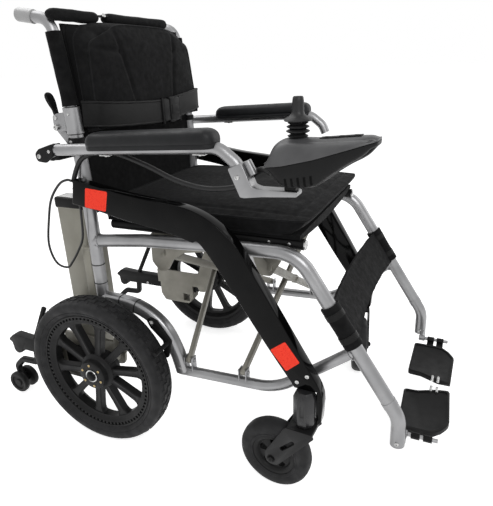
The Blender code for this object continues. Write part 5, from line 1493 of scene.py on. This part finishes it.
def add_drive_parts():
    softened_pair("drive_bracket", PAINT, 0.0010)
    softened_pair("anti_tipper", PLASTIC, 0.0010)
    softened_pair("brake_lever", PLASTIC, 0.0006)
    wheels = moved(roller(), (TIPPER_X, *ROLLER_AXLE))
    pair("rollers", wheels, PLASTIC, "rollers_{}", "anti_tip_rollers_{}")
    pair("tipper_pins", tipper_pin(), STEEL, "anti_tipper_{}")


# Footplates

def add_footplates():
    softened_pair("footplate", PLASTIC, 0.0012)
    low, high, middle = FOOT_PIN_Z - 0.0070, FOOT_PIN_Z, FOOT_PIN_Z - 0.0035
    links = [block(0.0150, 0.0270, y, y + 0.0060, low, high, 0.0016) for y in (-0.7010, -0.6890)]
    bolts = [rod(0.0030, (0.0110, y, middle), (0.0300, y, middle), 16, 0.0006) for y in (-0.6980, -0.6860)]
    pair("footplate_links", joined(*links, *bolts), STEEL, "footrest_{}")


# Battery and cables

def tube_curve(name, points, radius, look, body, replaced=()):
    """A bent round cord or wire as a curve with filled ends."""
    curve = bpy.data.curves.new(name, "CURVE")
    curve.dimensions = "3D"
    curve.bevel_depth = radius
    curve.bevel_resolution = 4
    curve.use_fill_caps = True
    curve.materials.append(look.material)
    spline = curve.splines.new("POLY")
    spline.points.add(len(points) - 1)
    for place, point in zip(spline.points, points):
        place.co = (point[0], point[1] + AXLE_Y, point[2], 1.0)
    obj = bpy.data.objects.new(name, curve)
    bpy.context.scene.collection.objects.link(obj)
    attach(obj, body)
    if replaced:
        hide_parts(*replaced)
    return obj


BATTERY_CABLE = [
    (-0.2496, 0.0110, 0.5985), (-0.2496, 0.0250, 0.5995), (-0.2480, 0.0480, 0.5890),
    (-0.2450, 0.0790, 0.5560), (-0.2400, 0.1011, 0.5109), (-0.2350, 0.1210, 0.4478),
    (-0.2330, 0.1106, 0.4052), (-0.2310, 0.0827, 0.3961), (-0.2310, 0.0640, 0.4130),
    (-0.2335, 0.0366, 0.4475), (-0.2370, 0.0190, 0.4770), (-0.2460, 0.0050, 0.5280),
    (-0.2490, 0.0010, 0.5525),
]


def add_battery():
    softened("battery_pack", BATTERY, 0.0020)
    softened("battery_dock", BATTERY, 0.0020)
    x0, x1, y0, y1, top = -0.2006, -0.1574, 0.0414, 0.1206, 0.5450
    cap = block(x0, x1, y0, y1, top - 0.0240, top + 0.0006, 0.0050, 4)
    cover = block(x0 + 0.0070, x1 - 0.0070, y0 + 0.0300, y1 - 0.0080, top, top + 0.0014, 0.0006)
    piece("battery_cap", cap, PLASTIC, "battery")
    piece("battery_plate", cover, STEEL, "battery")
    route = smooth(BATTERY_CABLE, per=6)
    lead = tube_curve("battery_lead", route, 0.0025, CORD, "right_frame", ["battery_cable"])
    declare_cord(route)


def declare_cord(route):
    length = sum((b - a).length for a, b in zip(route, route[1:]))


# Controller

PARTING = [(-0.4090, 0.6515), (-0.4448, 0.6577), (-0.4919, 0.6689), (-0.5596, 0.6902), (-0.5815, 0.6962)]
LID_LINE = [(-0.4090, 0.6560), (-0.4159, 0.6785), (-0.4295, 0.6918), (-0.4461, 0.6970), (-0.5017, 0.6970),
            (-0.5770, 0.7037), (-0.5815, 0.7005)]
BASE_LINE = [(-0.4090, 0.6480), (-0.4264, 0.6340), (-0.4363, 0.6218), (-0.4512, 0.6189), (-0.4882, 0.6222),
             (-0.4990, 0.6292), (-0.5229, 0.6470), (-0.5450, 0.6622), (-0.5650, 0.6722), (-0.5760, 0.6795),
             (-0.5815, 0.6890)]
SHELL_REAR, SHELL_FRONT, SHELL_HALF = -0.4090, -0.5815, 0.0345
SHELL_MIDDLE = 0.5 * (SHELL_REAR + SHELL_FRONT)
VENT_FIRST, VENT_STEP = -0.609, 0.132


def along(line, y):
    """The height of a (y, z) line at y."""
    for a, b in zip(line, line[1:]):
        if b[0] <= y <= a[0]:
            share = (a[0] - y) / (a[0] - b[0])
            return a[1] + (b[1] - a[1]) * share
    return line[-1][1] if y < line[-1][0] else line[0][1]


def eased(line, y):
    """The height of a (y, z) line at y, its corners rounded off."""
    reach = (-0.007, -0.0035, 0.0, 0.0035, 0.007)
    return sum(along(line, y + r) for r in reach) / len(reach)


def shell_point(line, gap, narrow, crown):
    """A shell from the parting line out to another line: the controller's lid, or its base."""
    def place(u, v, w):
        y = SHELL_MIDDLE + 0.5 * (SHELL_FRONT - SHELL_REAR) * v * (1.0 - 0.12 * abs(u) ** 6)
        half = SHELL_HALF * (1.0 - 0.24 * abs(v) ** 6) * (1.0 - narrow * w ** 2.2)
        seam = along(PARTING, y) + gap
        far = eased(line, y) - crown * abs(u) ** 3
        end = abs(v) ** 12 * 0.5
        z = seam + (far - seam) * (math.sin(0.5 * math.pi * w) * (1.0 - end * w))
        return Vector((-ARMREST_X + half * u, y, z))
    return place


lid_point = shell_point(LID_LINE, 0.0005, 0.46, 0.0040)
base_point = shell_point(BASE_LINE, -0.0005, 0.50, -0.0030)


def core_point(u, v, w):
    """The dark core that shows as a line between the lid and the base: painted shade where the two shells
    meet.
    """
    x = -ARMREST_X + 0.0318 * u * (1.0 - 0.20 * abs(v) ** 7)
    y = SHELL_MIDDLE + 0.0838 * v * (1.0 - 0.12 * abs(u) ** 6)
    return Vector((x, y, along(PARTING, -0.4952 + 0.0838 * v) + 0.0030 * (w - 0.5)))


def vent(side, v_middle):
    """A dark upright slot in the wall of the controller's base: a thin slab of painted shade on the wall, in
    place of a recessed slot.
    """
    def place(u, v, w):
        wall = base_point(side, v_middle + 0.024 * u, 0.58 + 0.22 * v)
        return wall + Vector((side * (0.0010 * w - 0.0007), 0.0, 0.0))
    return slab(place, 1, 8, 1)


def add_cable():
    route = cable_path()
    cable = made("controller_cable", sweep(route, circle(CABLE_R, 16), round_ends=0.0004), CORD)
    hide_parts("joystick_cable")
    path = [tuple(p + AXLE_SHIFT) for p in route]
    declare_cord(route)
    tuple(path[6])
    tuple(path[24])
    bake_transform(cable)


def add_bracket():
    """The controller's bracket at the armrest's front end, its bolt, its tube and the cable's clips."""
    x = -ARMREST_X
    softened("joystick_bracket", SILVER, 0.0016)
    heads = [screw((x + way * 0.0134, -0.3607, 0.6318), (way, 0, 0), 0.0042, 0.0024) for way in (-1, 1)]
    piece("bracket_bolt", joined(*heads), STEEL, "armrest_right")
    tube = rod(0.0072, (x, -0.3734, 0.6575), (x, -0.3852, 0.6350), 24, 0.0008)
    piece("bracket_tube", tube, SILVER, "armrest_right")
    clips = [block(x - 0.0040, x + 0.0040, y - 0.0030, y + 0.0030, 0.6060, 0.6120, 0.0012)
             for y in (-0.4440, -0.4570)]
    piece("bracket_clips", joined(*clips), STEEL, "armrest_right")


def add_shells():
    """The controller's lid and base, in a painted highlight and painted shade; the dark seam and slots, which
    are painted shade; and the strip round the buttons.
    """
    x = -ARMREST_X
    foot = block(x - 0.010, x + 0.010, -0.4590, -0.4400, 0.6149, 0.6230, 0.001)
    base = joined(slab(base_point, 36, 60, 12), foot)
    lid = slab(lid_point, 36, 60, 12)
    piece("controller_top", lid, LID_HIGHLIGHT_PLASTIC, "armrest_right", ["controller_lid"], SHELL_SHARP)
    piece("controller_bottom", base, BASE_SHADE_PLASTIC, "armrest_right", ["controller_base"], SHELL_SHARP)
    vents = [vent(side, VENT_FIRST + VENT_STEP * k) for side in (-1, 1) for k in range(5)]
    piece("controller_seam", joined(slab(core_point, 20, 30, 1), *vents), SHADE, "armrest_right")
    line = [(x, -0.4950, 0.6966), (x, -0.5040, 0.6974), (x, -0.5560, 0.7021)]
    piece("button_strip", sweep(line, rounded_box(0.0170, 0.0020, 0.0008)), SHADE, "armrest_right")


def on_gimbal(profile):
    """A (radius, rise) profile turned about the stick's upright line."""
    return moved(turned(profile, 56), (-ARMREST_X, JOYSTICK_Y, GIMBAL_Z), UPRIGHT)


def add_stick():
    """The bellows in two folds, which ride on no body, and the knob, which rides on the stick."""
    low_folds = [(0, -0.0022), (0.0150, -0.0020), (0.0160, -0.0006), (0.0125, 0.0012), (0.0108, 0.0022),
                 (0.0158, 0.0042), (0.0180, 0.0056), (0.0182, 0.0064), (0.0160, 0.0078), (0.0118, 0.0092),
                 (0, 0.0093)]
    high_folds = [(0, 0.0091), (0.0118, 0.0092), (0.0150, 0.0108), (0.0172, 0.0120), (0.0174, 0.0128),
                  (0.0154, 0.0142), (0.0114, 0.0156), (0.0140, 0.0170), (0.0158, 0.0180), (0.0150, 0.0192),
                  (0, 0.0195)]
    knob_profile = [(0, 0.0205), (0.0180, 0.0204), (0.0206, 0.0208), (0.0213, 0.0222), (0.0200, 0.0240),
                    (0.0140, 0.0272), (0.0104, 0.0305), (0.0091, 0.0345), (0.0088, 0.0430), (0.0087, 0.0490),
                    (0.0080, 0.0545), (0.0066, 0.0562), (0, 0.0565)]
    low = made("stick_boot", on_gimbal(low_folds), MATT_RUBBER)
    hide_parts("joystick_boot")
    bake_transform(low)
    high = made("stick_boot_top", on_gimbal(high_folds), MATT_RUBBER)
    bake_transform(high)
    piece("stick_knob", on_gimbal(knob_profile), KNOB, "stick", ["joystick_knob"])


def add_controller():
    add_bracket()
    add_shells()
    add_stick()
    for node in ("button_power", "button_slower", "button_faster"):
        softened(node, PLASTIC)
    add_cable()


# Stage

def white_to_sight(tree, target, low, high):
    """Links a strength to target: low for diffuse light, high for what is seen, mirrored or through glass."""
    path = tree.nodes.new("ShaderNodeLightPath")
    seen = path.outputs["Is Camera Ray"]
    for name in ("Is Glossy Ray", "Is Transmission Ray"):
        either = tree.nodes.new("ShaderNodeMath")
        either.operation = "MAXIMUM"
        tree.links.new(seen, either.inputs[0])
        tree.links.new(path.outputs[name], either.inputs[1])
        seen = either.outputs[0]
    strength = tree.nodes.new("ShaderNodeMapRange")
    strength.inputs["To Min"].default_value = low
    strength.inputs["To Max"].default_value = high
    tree.links.new(seen, strength.inputs["Value"])
    tree.links.new(strength.outputs["Result"], target)


def floor_look():
    """White to the eye, and pale to the light that falls on it."""
    white = bpy.data.materials.new("pale floor")
    white.use_nodes = True
    nodes, links = white.node_tree.nodes, white.node_tree.links
    shader = nodes["Principled BSDF"]
    shader.inputs["Base Color"].default_value = (0.93, 0.93, 0.93, 1.0)
    shader.inputs["Roughness"].default_value = 0.9
    shader.inputs["Specular IOR Level"].default_value = 0.0
    shader.inputs["Emission Color"].default_value = (1.0, 1.0, 1.0, 1.0)
    white_to_sight(white.node_tree, shader.inputs["Emission Strength"], 0.0, 0.72)
    fine = nodes.new("ShaderNodeTexNoise")
    fine.inputs["Scale"].default_value = 40.0
    bump = nodes.new("ShaderNodeBump")
    bump.inputs["Distance"].default_value = 0.0002
    links.new(fine.outputs["Fac"], bump.inputs["Height"])
    links.new(bump.outputs["Normal"], shader.inputs["Normal"])
    return white


def add_floor():
    reach = 60.0
    floor = bpy.data.objects.new("floor", block(-reach, reach, -reach, reach, -0.02, 0.0))
    bpy.context.scene.collection.objects.link(floor)
    floor.data.materials.append(floor_look())


def add_world():
    world = bpy.context.scene.world or bpy.data.worlds.new("world")
    bpy.context.scene.world = world
    world.use_nodes = True
    background = world.node_tree.nodes["Background"]
    background.inputs["Color"].default_value = (1.0, 1.0, 1.0, 1.0)
    white_to_sight(world.node_tree, background.inputs["Strength"], 0.42, 1.0)


def lamp(name, place, target, size, energy):
    data = bpy.data.lights.new(name, "AREA")
    data.size = size
    data.energy = energy
    obj = bpy.data.objects.new(name, data)
    bpy.context.scene.collection.objects.link(obj)
    obj.location = place
    obj.rotation_euler = (Vector(target) - Vector(place)).to_track_quat("-Z", "Y").to_euler()


def add_lights():
    middle = (0.0, 0.0, 0.45)
    lamp("key", (-1.9, -1.6, 2.3), middle, 1.5, 34.0)
    lamp("fill", (1.8, -1.8, 1.5), middle, 1.6, 10.0)
    lamp("top", (0.2, 1.4, 2.6), middle, 1.8, 22.0)


def add_camera():
    forward = Vector((-math.sin(VIEW_AZIMUTH) * math.cos(VIEW_DOWN),
                      math.cos(VIEW_AZIMUTH) * math.cos(VIEW_DOWN),
                      -math.sin(VIEW_DOWN)))
    level = Vector((math.cos(VIEW_AZIMUTH), math.sin(VIEW_AZIMUTH), 0.0))
    above = level.cross(forward)
    right = level * math.cos(VIEW_ROLL) + above * math.sin(VIEW_ROLL)
    up = above * math.cos(VIEW_ROLL) - level * math.sin(VIEW_ROLL)
    data = bpy.data.cameras.new("camera")
    data.sensor_fit = "HORIZONTAL"
    data.sensor_width = SENSOR
    data.lens = FOCAL_PX * SENSOR / PHOTO_WIDTH
    camera = bpy.data.objects.new("camera", data)
    bpy.context.scene.collection.objects.link(camera)
    turn = Matrix((right, up, -forward)).transposed().to_4x4()
    camera.matrix_world = Matrix.Translation(EYE) @ turn
    bpy.context.scene.camera = camera


def main():
    bpy.context.scene.view_settings.view_transform = "Standard"
    for add in (add_camera, add_floor, add_world, add_lights, add_side_frames, add_arms, add_rear_wheels,
                add_casters, add_braces, add_rails, add_seat, add_back, add_straps, add_armrests, add_canes,
                add_drive_parts, add_footplates, add_battery, add_controller):
        add()


main()
